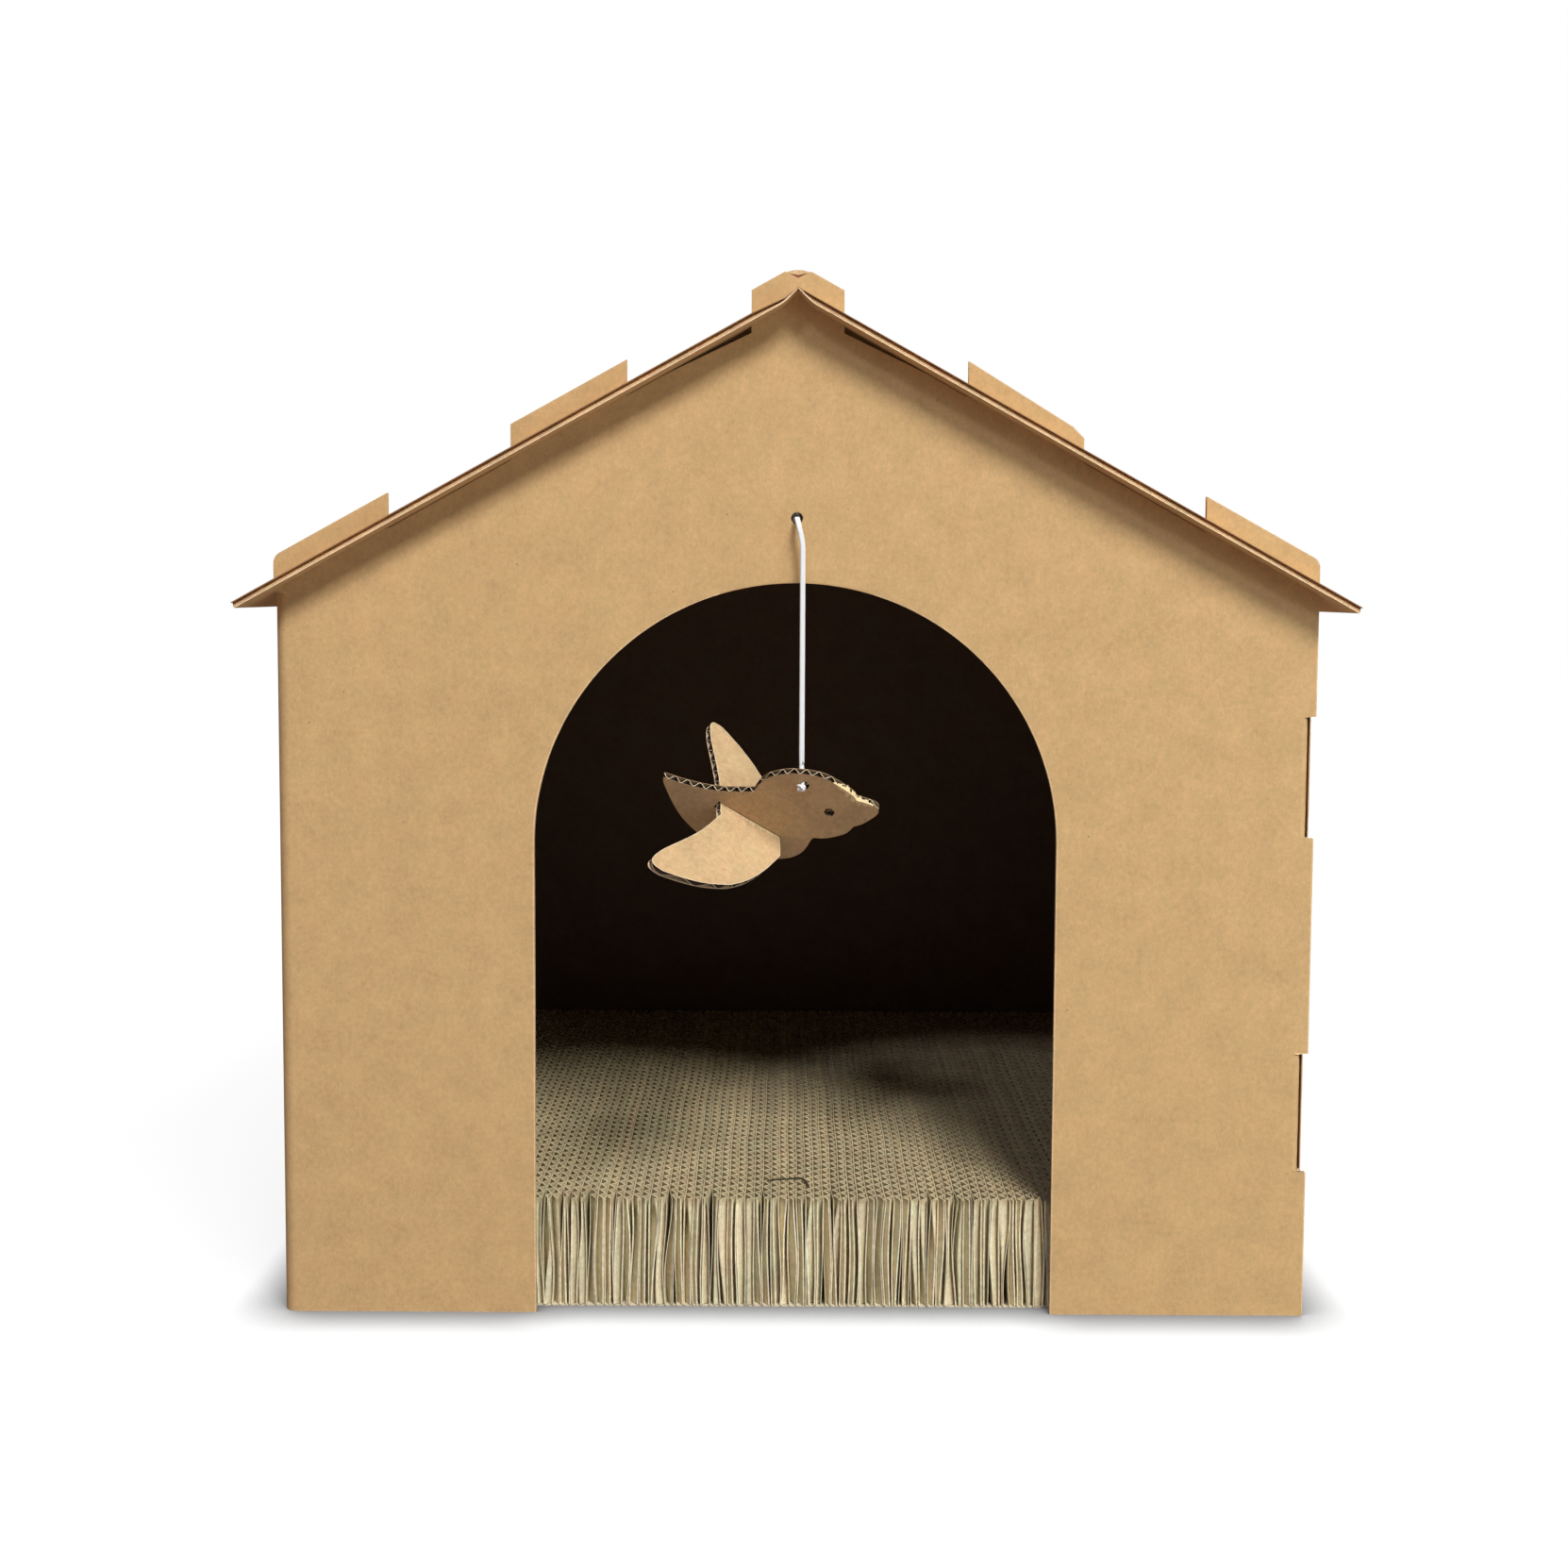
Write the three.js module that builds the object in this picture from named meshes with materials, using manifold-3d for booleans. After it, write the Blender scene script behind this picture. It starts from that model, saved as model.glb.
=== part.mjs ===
// A flat-packed cardboard cat house: two die-cut wall sheets that lock at opposite corners,
// a creased roof sheet over ten wall tabs, a scratching pad of glued board strips on a paper base,
// and a cut-out bird that hangs in the doorway on a white string.
// Millimetres, +Z up, front wall towards -Y, origin on the floor in the middle of the footprint.
import * as THREE from "three";
import { mergeVertices } from "three/addons/utils/BufferGeometryUtils.js";
import Module from "manifold-3d";

const wasm = await Module();
wasm.setup();

// Board and fits
const boardThickness = 3;
const fitGap = 0.3;
const cutOverrun = 5;

// House
const houseWidth = 462;
const houseDepth = 395;
const roofPitch = THREE.MathUtils.degToRad(29);
const ridgeHeight = 457.4;
const eaveOverhang = 15;
const gableOverhang = 14;
const foldInsideRadius = 3;

// Roof crease: the board is crushed thin at the ridge, and its top is scored on one slope
const creaseThickness = 0.6;
const creaseReach = 7.5;
const creaseCurl = 1.6;
const scoreOffset = 5.5;
const scoreReach = 20;
const scoreDepth = 1.3;

// Doorway and string hole in the front wall
const doorWidth = 233;
const doorTopHeight = 330.5;
const stringHoleRise = 28.5;
const stringHoleDiameter = 5.3;

// Tabs on the gables, each from its inner to its outer side, measured from the centre line
const tabRise = 12;
const ridgeTabHalfWidth = 20.3;
const middleTabInner = 74.9;
const middleTabOuter = 126;
const outerTabInner = 180.4;
const outerTabCornerRadius = 5.5;
const wornTabCorner = 5;
const ridgeTabRound = 14.5;
const ridgeNickHalfWidth = 5.8;
const ridgeNickDepth = 2.8;
const ridgeNickRemainder = 0.6;
const shoulderDrop = 2.8;
const shoulderDropReach = 57;

// Locks at two corners: tabs of one sheet fold back into windows of the other
const lockAboveFloor = 66.3;
const lockBelowEave = 53.1;
const lockLength = 54.5;
const lockSetBack = 3.3;
const lockReach = 33;
const lockCorner = 8;
const windowDepth = 8;
const flapWidth = 60;
const flapCorner = 12;

// Scratching pad
const padFit = 0.7;
const padLayer = 4;
const padLiner = 0.7;
const padHeight = 49.4;
const padPocketDepth = 6;
const padPocketSpread = 2.5;
const padEdgeSpread = 0.5;
const padScatterShares = [2.4, 0.9, 1.3];
const padBaseThickness = 0.6;
const padBaseInset = 1;

// String
const stringDiameter = 2.4;
const stringLead = 0.7;
const stringBendRadius = 4.8;
const stringDrift = 2.6;
const stringBendTail = 9;
const insideKnotDiameter = 6.8;

// Bird
const toyBoard = 3.6;
const birdLength = 94.7;
const birdDepth = 53.2;
const birdHoleDiameter = 4.8;
const birdHoleHeight = 242;
const birdHoleOffset = 3.65;
const birdLean = THREE.MathUtils.degToRad(37);
const birdYaw = THREE.MathUtils.degToRad(9);
const birdEyeX = 9.9;
const birdEyeZ = -16.1;
const birdKnotDiameter = 5.2;
const birdStringOffset = 0.7;
const birdStringLead = 0.8;
const birdStringRise = 6;
const wingHalfSpan = 50.6;
const wingChord = 33;
const wingSlant = THREE.MathUtils.degToRad(39.5);
const wingTurn = THREE.MathUtils.degToRad(7);
const wingSlide = 8.5;
const wingRootX = -25.1;
const wingRootZ = -25.4;

// Outline of the bird's body from its string hole, as shares of its length and depth.
// Each run is a smooth curve, and the runs meet at corners.
const birdRunShares = [
  [[-0.663, 0.056], [-0.565, -0.017], [-0.465, -0.07], [-0.363, -0.09], [-0.241, -0.085]],
  [[-0.241, -0.085], [-0.213, -0.002], [-0.166, 0.075], [-0.1, 0.115], [-0.037, 0.128],
    [0.041, 0.111], [0.11, 0.068], [0.176, -0.024], [0.22, -0.1], [0.24, -0.162]],
  [[0.24, -0.162], [0.285, -0.192], [0.323, -0.227], [0.337, -0.265], [0.331, -0.314],
    [0.3, -0.37], [0.257, -0.43], [0.212, -0.466]],
  [[0.212, -0.466], [0.199, -0.498], [0.172, -0.547], [0.122, -0.586], [0.065, -0.611],
    [0.019, -0.605]],
  [[0.019, -0.605], [0.001, -0.639], [-0.014, -0.695], [-0.045, -0.778], [-0.088, -0.836],
    [-0.137, -0.865], [-0.2, -0.87], [-0.29, -0.845], [-0.39, -0.775], [-0.48, -0.665],
    [-0.54, -0.59], [-0.596, -0.444], [-0.628, -0.312], [-0.648, -0.18], [-0.663, -0.05],
    [-0.668, 0.01], [-0.663, 0.056]],
];

// Half outline of the wing piece, as shares of its chord and half span.
const wingRearShares = [[-0.53, 0], [-0.555, 0.022], [-0.636, 0.188], [-0.752, 0.375],
  [-0.897, 0.555], [-1.064, 0.749], [-1.145, 0.87], [-1.17, 0.945], [-1.14, 0.987], [-1.06, 1],
  [-0.97, 0.997]];
const wingFrontShares = [[-0.97, 0.997], [-0.833, 0.964], [-0.63, 0.911], [-0.388, 0.83],
  [-0.13, 0.711], [0, 0.628], [0.16, 0.486], [0.303, 0.298], [0.385, 0.156], [0.45, 0.022],
  [0.452, 0]];

// Curve resolution
const doorSegments = 48;
const holeSegments = 16;
const cornerSegments = 6;
const splineSegments = 3;
const stringSides = 8;
const stringStep = 2.5 * stringDiameter;
const knotSegments = 12;

// Derived places
const halfWidth = houseWidth / 2;
const halfDepth = houseDepth / 2;
const roofSlope = Math.tan(roofPitch);
const roofDropThrough = boardThickness / Math.cos(roofPitch);
const gapBelowRoof = fitGap / Math.cos(roofPitch);
const stringHoleHeight = doorTopHeight + stringHoleRise;
const innerFront = -halfDepth + boardThickness;
const roofTop = (x) => ridgeHeight - roofSlope * Math.abs(x);
const roofUnder = (x) => roofTop(x) - roofDropThrough;
const shoulder = (x) => roofUnder(x) - gapBelowRoof;
const tabTop = (x) => roofTop(x) + tabRise;
const sideTop = shoulder(halfWidth);
const foldRadius = foldInsideRadius + boardThickness;
const lockBottoms = [lockAboveFloor, sideTop - lockBelowEave - lockLength];
const flapOuterY = halfDepth - boardThickness - fitGap;
const flapInnerY = flapOuterY - boardThickness;
const lockOuterX = halfWidth - lockSetBack;
const lockInnerX = lockOuterX - boardThickness;
const tabSpans = [
  [-halfWidth, -outerTabInner],
  [-middleTabOuter, -middleTabInner],
  [-ridgeTabHalfWidth, ridgeTabHalfWidth],
  [middleTabInner, middleTabOuter],
  [outerTabInner, halfWidth],
];

const kraft = { color: 0xcba876, roughness: 0.88, metalness: 0 };
const materials = {
  wallBoard: () => new THREE.MeshStandardMaterial(kraft),
  roofBoard: () => new THREE.MeshStandardMaterial({ ...kraft, color: 0xc09c6c }),
  padBoard: () => new THREE.MeshStandardMaterial({ ...kraft, color: 0x9c8a6c, roughness: 0.95 }),
  padPaper: () => new THREE.MeshStandardMaterial({ ...kraft, color: 0xb8a684 }),
  toyBoard: () => new THREE.MeshStandardMaterial({ ...kraft, color: 0xb08a62 }),
  string: () => new THREE.MeshStandardMaterial({ color: 0xf2f2ee, roughness: 0.8, metalness: 0 }),
};

// Solids

function solidOf(geometry) {
  const bare = geometry.index ? geometry.toNonIndexed() : geometry.clone();
  bare.deleteAttribute("normal");
  bare.deleteAttribute("uv");
  const merged = mergeVertices(bare);
  const vertProperties = new Float32Array(merged.attributes.position.array);
  const triVerts = new Uint32Array(merged.index.array);
  return new wasm.Manifold(new wasm.Mesh({ numProp: 3, vertProperties, triVerts }));
}

function geometryOf(solid) {
  const { vertProperties, triVerts } = solid.getMesh();
  const geometry = new THREE.BufferGeometry();
  geometry.setAttribute("position", new THREE.BufferAttribute(vertProperties, 3));
  geometry.setIndex(new THREE.BufferAttribute(triVerts, 1));
  geometry.computeVertexNormals();
  return geometry;
}

function named(name, shape, material) {
  const geometry = shape.isBufferGeometry ? shape : geometryOf(shape);
  const mesh = new THREE.Mesh(geometry, material);
  mesh.name = name;
  return mesh;
}

function extruded(shape, depth, curveSegments = cornerSegments) {
  return new THREE.ExtrudeGeometry(shape, { depth, curveSegments, bevelEnabled: false });
}

// A shape drawn in X and Z, standing upright between two Y planes.
function upright(shape, yLow, yHigh, curveSegments) {
  return extruded(shape, yHigh - yLow, curveSegments).rotateX(Math.PI / 2).translate(0, yHigh, 0);
}

// A shape drawn in Y and Z, standing upright between two X planes.
function sideways(shape, xLow, xHigh) {
  return extruded(shape, xHigh - xLow).rotateX(Math.PI / 2).rotateZ(Math.PI / 2).translate(xLow, 0, 0);
}

function block([xLow, xHigh], [yLow, yHigh], [zLow, zHigh]) {
  const geometry = new THREE.BoxGeometry(xHigh - xLow, yHigh - yLow, zHigh - zLow);
  geometry.translate((xLow + xHigh) / 2, (yLow + yHigh) / 2, (zLow + zHigh) / 2);
  return solidOf(geometry);
}

function polygon(points) {
  return new THREE.Shape(points.map(([a, b]) => new THREE.Vector2(a, b)));
}

// Wall sheets

// Points of an arc that rounds off a corner of the tab line, from one angle to another.
function tabArc(centreX, radius, from, to) {
  const centreZ = tabTop(centreX) - radius / Math.cos(roofPitch);
  return Array.from({ length: cornerSegments + 1 }, (_, i) => {
    const angle = from + ((to - from) * i) / cornerSegments;
    return [centreX + radius * Math.cos(angle), centreZ + radius * Math.sin(angle)];
  });
}

// One half of the gable's top line, from the outer edge to the ridge, for side +1 or -1.
function gableTop(side, wornCorner) {
  const slopeNormal = Math.PI / 2 - roofPitch;
  const outerCorner = tabArc(halfWidth - outerTabCornerRadius, outerTabCornerRadius, 0, slopeNormal);
  const apex = tabArc(0, ridgeTabRound, slopeNormal, Math.PI / 2);
  const middleCorner = wornCorner
    ? [[middleTabOuter, tabTop(middleTabOuter) - wornCorner],
      [middleTabOuter - wornCorner, tabTop(middleTabOuter)]]
    : [[middleTabOuter, tabTop(middleTabOuter)]];
  const points = [
    ...outerCorner,
    [outerTabInner, tabTop(outerTabInner)],
    [outerTabInner, shoulder(outerTabInner)],
    [middleTabOuter, shoulder(middleTabOuter)],
    ...middleCorner,
    [middleTabInner, tabTop(middleTabInner)],
    [middleTabInner, shoulder(middleTabInner)],
    [shoulderDropReach, shoulder(shoulderDropReach)],
    [ridgeTabHalfWidth, shoulder(ridgeTabHalfWidth) - shoulderDrop],
    [ridgeTabHalfWidth, tabTop(ridgeTabHalfWidth)],
    ...apex,
  ];
  return points.map(([x, z]) => [side * x, z]);
}

function gableShape(wornCorner) {
  return polygon([
    [-halfWidth, 0],
    [halfWidth, 0],
    ...gableTop(1, wornCorner),
    ...gableTop(-1, 0).reverse().slice(1),
  ]);
}

// The nick torn into the front of the ridge tab; the rear of the board stays whole behind it.
function ridgeNick() {
  const top = tabTop(ridgeNickHalfWidth);
  const nick = polygon([
    [0, top - ridgeNickDepth],
    [ridgeNickHalfWidth, top],
    [ridgeNickHalfWidth, top + ridgeNickDepth],
    [-ridgeNickHalfWidth, top + ridgeNickDepth],
    [-ridgeNickHalfWidth, top],
  ]);
  return solidOf(upright(nick, -halfDepth - cutOverrun, innerFront - ridgeNickRemainder));
}

// The sheet seen from above: gable wall, rounded fold, side wall, rounded fold, inner flap.
function sheetPlan() {
  const foldX = -halfWidth + foldRadius;
  const frontFoldY = -halfDepth + foldRadius;
  const rearFoldY = flapOuterY - foldRadius;
  const plan = new THREE.Shape();
  plan.moveTo(halfWidth, -halfDepth);
  plan.lineTo(halfWidth, innerFront);
  plan.lineTo(foldX, innerFront);
  plan.absarc(foldX, frontFoldY, foldInsideRadius, 1.5 * Math.PI, Math.PI, true);
  plan.lineTo(-halfWidth + boardThickness, rearFoldY);
  plan.absarc(foldX, rearFoldY, foldInsideRadius, Math.PI, Math.PI / 2, true);
  plan.lineTo(-halfWidth + flapWidth, flapInnerY);
  plan.lineTo(-halfWidth + flapWidth, flapOuterY);
  plan.lineTo(foldX, flapOuterY);
  plan.absarc(foldX, rearFoldY, foldRadius, Math.PI / 2, Math.PI, false);
  plan.lineTo(-halfWidth, frontFoldY);
  plan.absarc(foldX, frontFoldY, foldRadius, Math.PI, 1.5 * Math.PI, false);
  return plan;
}

function flapShape() {
  const edge = -halfWidth + flapWidth;
  return polygon([
    [-halfWidth - cutOverrun, 0],
    [edge - flapCorner, 0],
    [edge, flapCorner],
    [edge, sideTop - flapCorner],
    [edge - flapCorner, sideTop],
    [-halfWidth - cutOverrun, sideTop],
  ]);
}

function doorShape() {
  const radius = doorWidth / 2;
  const springLine = doorTopHeight - radius;
  const door = new THREE.Shape();
  door.moveTo(-radius, -cutOverrun);
  door.lineTo(radius, -cutOverrun);
  door.lineTo(radius, springLine);
  door.absarc(0, springLine, radius, 0, Math.PI, false);
  door.lineTo(-radius, -cutOverrun);
  return door;
}

function roundShape(x, z, diameter) {
  const round = new THREE.Shape();
  round.absarc(x, z, diameter / 2, 0, 2 * Math.PI, false);
  return round;
}

// A lock tab: the gable wall's edge folded back through a quarter turn, with cut corners.
function lockTab(bottom) {
  const plan = new THREE.Shape();
  plan.moveTo(lockInnerX - boardThickness, -halfDepth);
  plan.lineTo(lockInnerX, -halfDepth);
  plan.absarc(lockInnerX, innerFront, boardThickness, -Math.PI / 2, 0, false);
  plan.lineTo(lockOuterX, -halfDepth + lockReach);
  plan.lineTo(lockInnerX, -halfDepth + lockReach);
  plan.lineTo(lockInnerX, innerFront);
  plan.lineTo(lockInnerX - boardThickness, innerFront);
  const folded = solidOf(extruded(plan, lockLength).translate(0, 0, bottom));
  const front = -halfDepth - cutOverrun;
  const rear = -halfDepth + lockReach;
  const top = bottom + lockLength;
  const side = polygon([
    [front, bottom],
    [rear - lockCorner, bottom],
    [rear, bottom + lockCorner],
    [rear, top - lockCorner],
    [rear - lockCorner, top],
    [front, top],
  ]);
  return folded.intersect(solidOf(sideways(side, lockInnerX - 2 * boardThickness, halfWidth)));
}

function wallSheet({ withDoor }) {
  const plan = solidOf(extruded(sheetPlan(), sideTop));
  const gable = solidOf(upright(gableShape(withDoor ? wornTabCorner : 0), -halfDepth, innerFront));
  const sideSpan = [-halfWidth - cutOverrun, -halfWidth + foldRadius];
  const sideWall = block(sideSpan, [-halfDepth - cutOverrun, halfDepth], [-cutOverrun, sideTop + cutOverrun]);
  const flap = solidOf(upright(flapShape(), flapInnerY - foldRadius, halfDepth));
  const aboveFolds = block([-houseWidth, houseWidth], [-houseDepth, houseDepth], [sideTop, tabTop(0)]);
  const folded = plan.intersect(gable.add(sideWall).add(flap));
  let sheet = folded.add(gable.intersect(aboveFolds)).subtract(ridgeNick());
  const throughWall = [-halfDepth - cutOverrun, innerFront + cutOverrun];
  if (withDoor) {
    sheet = sheet.subtract(solidOf(upright(doorShape(), ...throughWall, doorSegments)));
    const hole = roundShape(0, stringHoleHeight, stringHoleDiameter);
    sheet = sheet.subtract(solidOf(upright(hole, ...throughWall, holeSegments)));
  }
  for (const bottom of lockBottoms) {
    const top = bottom + lockLength;
    sheet = sheet.subtract(block([lockInnerX, halfWidth + cutOverrun], throughWall, [bottom, top]));
    sheet = sheet.add(lockTab(bottom));
    const windowX = [-halfWidth - cutOverrun, -lockInnerX + fitGap];
    const windowY = [halfDepth - windowDepth, halfDepth + cutOverrun];
    sheet = sheet.subtract(block(windowX, windowY, [bottom - fitGap, top + fitGap]));
  }
  return sheet;
}

// Roof: one sheet creased along the ridge, with a slot for each wall tab.

// The underside curls up to the crushed board at the crease, on both slopes.
function creaseUnder(side) {
  return Array.from({ length: cornerSegments }, (_, i) => {
    const share = i / cornerSegments;
    const lift = (roofDropThrough - creaseThickness) * share ** creaseCurl;
    const x = creaseReach * (1 - share);
    return [side * x, roofUnder(x) + lift];
  });
}

function roofSheet() {
  const tipX = halfWidth + eaveOverhang;
  const tipTop = roofTop(tipX);
  const underX = tipX - boardThickness * Math.sin(roofPitch);
  const underZ = tipTop - boardThickness * Math.cos(roofPitch);
  const profile = polygon([
    [-underX, underZ],
    ...creaseUnder(-1),
    [0, ridgeHeight - creaseThickness],
    ...creaseUnder(1).reverse(),
    [underX, underZ],
    [tipX, tipTop],
    [0, ridgeHeight],
    [-scoreOffset, roofTop(scoreOffset) - scoreDepth],
    [-scoreReach, roofTop(scoreReach)],
    [-tipX, tipTop],
  ]);
  const halfRoof = halfDepth + gableOverhang;
  let roof = solidOf(upright(profile, -halfRoof, halfRoof));
  for (const [xLow, xHigh] of tabSpans) {
    const slotX = [xLow - fitGap, xHigh + fitGap];
    for (const side of [-1, 1]) {
      const faces = [side * halfDepth, side * (halfDepth - boardThickness)].sort((a, b) => a - b);
      const slotY = [faces[0] - fitGap, faces[1] + fitGap];
      roof = roof.subtract(block(slotX, slotY, [0, ridgeHeight + cutOverrun]));
    }
  }
  return roof;
}

// Scratching pad: strips of board on edge, glued side by side, cut across at front and back.

// Strips that fit between the lock tabs, and the width of the block that they make.
const padLayers = Math.floor((2 * (lockInnerX - padFit) - padLiner) / padLayer);
const padHalfWidth = (padLayers * padLayer + padLiner) / 2;
const padHalfDepth = flapInnerY - padFit;

// One cut end of the block, seen from above: liner ends with a pocket between each two.
function padEnd(sign) {
  const [pocketShare, driftShare, edgeShare] = padScatterShares;
  const pocketDepth = (layer) => {
    const wave = Math.sin(layer * pocketShare + sign) * Math.cos(layer * driftShare - sign);
    return padPocketDepth + padPocketSpread * wave;
  };
  const edge = (layer) => padHalfDepth - padEdgeSpread * Math.abs(Math.sin(layer * edgeShare + sign));
  const points = [];
  for (let layer = 0; layer < padLayers; layer += 1) {
    const left = -padHalfWidth + layer * padLayer;
    const reach = edge(layer);
    const bottom = reach - pocketDepth(layer);
    points.push([left, reach], [left + padLiner, reach]);
    points.push([left + padLiner, bottom], [left + padLayer, bottom]);
  }
  points.push([padHalfWidth - padLiner, edge(padLayers)], [padHalfWidth, edge(padLayers)]);
  return points.map(([x, y]) => [sign * x, sign * y]);
}

function scratchPad() {
  const outline = polygon([...padEnd(-1), ...padEnd(1)]);
  return extruded(outline, padHeight).translate(0, 0, padBaseThickness + fitGap);
}

function padBase() {
  const halfX = padHalfWidth - padBaseInset;
  const halfY = padHalfDepth - padBaseInset;
  return block([-halfX, halfX], [-halfY, halfY], [0, padBaseThickness]);
}

// String

function ringSection(diameter) {
  const points = [];
  for (let i = 0; i < stringSides; i += 1) {
    const angle = (2 * Math.PI * i) / stringSides;
    points.push([(diameter / 2) * Math.cos(angle), (diameter / 2) * Math.sin(angle)]);
  }
  return polygon(points);
}

function cordAlong(points) {
  const extrudePath = new THREE.CatmullRomCurve3(points);
  const steps = Math.max(2, Math.ceil(extrudePath.getLength() / stringStep));
  const settings = { steps, extrudePath, bevelEnabled: false };
  return new THREE.ExtrudeGeometry(ringSection(stringDiameter), settings);
}

function ball(diameter, centre) {
  const geometry = new THREE.SphereGeometry(diameter / 2, knotSegments, knotSegments / 2);
  return geometry.translate(centre.x, centre.y, centre.z);
}

// How far a knot's centre stands off a face when the knot is drawn against a hole's rim.
function seatDistance(knotDiameter, holeDiameter, offCentre) {
  const reach = knotDiameter / 2 + fitGap;
  const rim = holeDiameter / 2 - offCentre;
  return Math.sqrt(reach * reach - rim * rim);
}

const stringMouthY = -halfDepth - fitGap;
const stringHangY = stringMouthY - stringLead - stringBendRadius;
const stringBendEndZ = stringHoleHeight - stringBendRadius - stringBendTail;
const swingPivotZ = stringBendEndZ - fitGap - stringDiameter / 2;
const swingPivot = new THREE.Vector3(stringDrift, stringHangY, swingPivotZ);

// The knot behind the wall and the string through its hole.
function insideKnot() {
  const through = [
    new THREE.Vector3(0, -halfDepth, stringHoleHeight),
    new THREE.Vector3(0, innerFront + insideKnotDiameter / 4, stringHoleHeight),
  ];
  const behind = seatDistance(insideKnotDiameter, stringHoleDiameter, 0);
  const centre = new THREE.Vector3(0, innerFront + behind, stringHoleHeight);
  return solidOf(cordAlong(through)).add(solidOf(ball(insideKnotDiameter, centre)));
}

// Out of the hole, down through a quarter bend, drifting to the line it hangs on.
function stringBend() {
  const points = [new THREE.Vector3(0, stringMouthY, stringHoleHeight)];
  const turns = 6;
  const length = (Math.PI / 2) * stringBendRadius + stringBendTail;
  const drift = (along) => stringDrift * THREE.MathUtils.smoothstep(along, 0, length);
  for (let i = 0; i <= turns; i += 1) {
    const angle = (i / turns) * (Math.PI / 2);
    const y = stringMouthY - stringLead - stringBendRadius * Math.sin(angle);
    const z = stringHoleHeight - stringBendRadius * (1 - Math.cos(angle));
    points.push(new THREE.Vector3(drift(stringBendRadius * angle), y, z));
  }
  const half = stringBendTail / 2;
  points.push(new THREE.Vector3(drift(length - half), stringHangY, stringBendEndZ + half));
  points.push(new THREE.Vector3(stringDrift, stringHangY, stringBendEndZ));
  const extrudePath = new THREE.CatmullRomCurve3(points);
  const section = ringSection(stringDiameter);
  return new THREE.ExtrudeGeometry(section, { steps: 2 * turns, extrudePath, bevelEnabled: false });
}

const birdHoleRear = toyBoard + birdStringLead;
const birdBendDepth = stringBendRadius * (1 - Math.sin(birdLean));
const birdHoleY = stringHangY - birdHoleRear * Math.cos(birdLean) - birdBendDepth;
const stringEndZ = birdHoleHeight + birdHoleRear * Math.sin(birdLean) + birdStringRise;
const stringEnd = new THREE.Vector3(stringDrift, stringHangY, stringEndZ);

// The straight hanging length, round at its top, where it swings.
function stringDrop() {
  const lowEnd = stringEnd.clone().setZ(stringEndZ + fitGap);
  const straight = solidOf(cordAlong([swingPivot, lowEnd]));
  return straight.add(solidOf(ball(stringDiameter, swingPivot)));
}

// Bird: body and wing piece in the body's own frame, X to the beak, Z to the back, near face at Y = 0.

function splineShape(runs, scaleA, scaleB) {
  const shape = new THREE.Shape();
  const at = ([a, b]) => new THREE.Vector2(a * scaleA, b * scaleB);
  const start = at(runs[0][0]);
  shape.moveTo(start.x, start.y);
  for (const run of runs) {
    shape.splineThru(run.slice(1).map(at));
  }
  return shape;
}

// The wing piece flat in its own plane, slid and turned as it sits in the slot.
function flatWings() {
  const flip = (shares) => shares.map(([a, n]) => [a, -n]).reverse();
  const runs = [
    [...wingRearShares],
    [...wingFrontShares],
    flip(wingFrontShares),
    flip(wingRearShares),
  ];
  const shape = splineShape(runs, wingChord, wingHalfSpan);
  const geometry = extruded(shape, toyBoard, splineSegments).translate(0, 0, -toyBoard / 2);
  return solidOf(geometry.rotateZ(-wingTurn).translate(0, -wingSlide, 0));
}

function birdParts() {
  const wings = flatWings();
  const slab = block([-birdLength, birdLength], [-fitGap, toyBoard + fitGap], [-toyBoard, toyBoard]);
  const waist = wings.intersect(slab).boundingBox();
  const slotX = [waist.min[0] - fitGap, waist.max[0] + fitGap];
  const slotZ = [-toyBoard / 2 - fitGap, toyBoard / 2 + fitGap];
  const slot = block(slotX, [-cutOverrun, toyBoard + cutOverrun], slotZ);
  const seat = new THREE.Matrix4().makeRotationY(wingSlant).setPosition(wingRootX, 0, wingRootZ);
  const seated = (solid) => solidOf(geometryOf(solid).applyMatrix4(seat));
  const outline = splineShape(birdRunShares, birdLength, birdDepth);
  outline.holes.push(roundShape(0, 0, birdHoleDiameter), roundShape(birdEyeX, birdEyeZ, birdHoleDiameter));
  const body = solidOf(upright(outline, 0, toyBoard, splineSegments)).subtract(seated(slot));
  return { body, wings: seated(wings) };
}

function birdFrame() {
  const frame = new THREE.Group();
  frame.rotation.set(birdLean, 0, -birdYaw, "ZYX");
  frame.position.set(birdHoleOffset, birdHoleY, birdHoleHeight);
  frame.updateMatrixWorld();
  return frame;
}

// The knot in front of the bird's hole, and the string through it and up to the hanging length.
function birdKnot(frame) {
  const onBird = (x, y, z) => new THREE.Vector3(x, y, z).applyMatrix4(frame.matrixWorld);
  const knotY = -seatDistance(birdKnotDiameter, birdHoleDiameter, birdStringOffset);
  const end = stringEnd.clone();
  const points = [
    onBird(-birdStringOffset, knotY, 0),
    onBird(-birdStringOffset, 0, 0),
    onBird(-birdStringOffset, toyBoard, 0),
    onBird(-birdStringOffset, toyBoard + birdStringLead, 0),
    end.clone().sub(new THREE.Vector3(0, 0, stringDiameter)),
    end,
  ];
  return solidOf(cordAlong(points)).add(solidOf(ball(birdKnotDiameter, points[0])));
}

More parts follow.
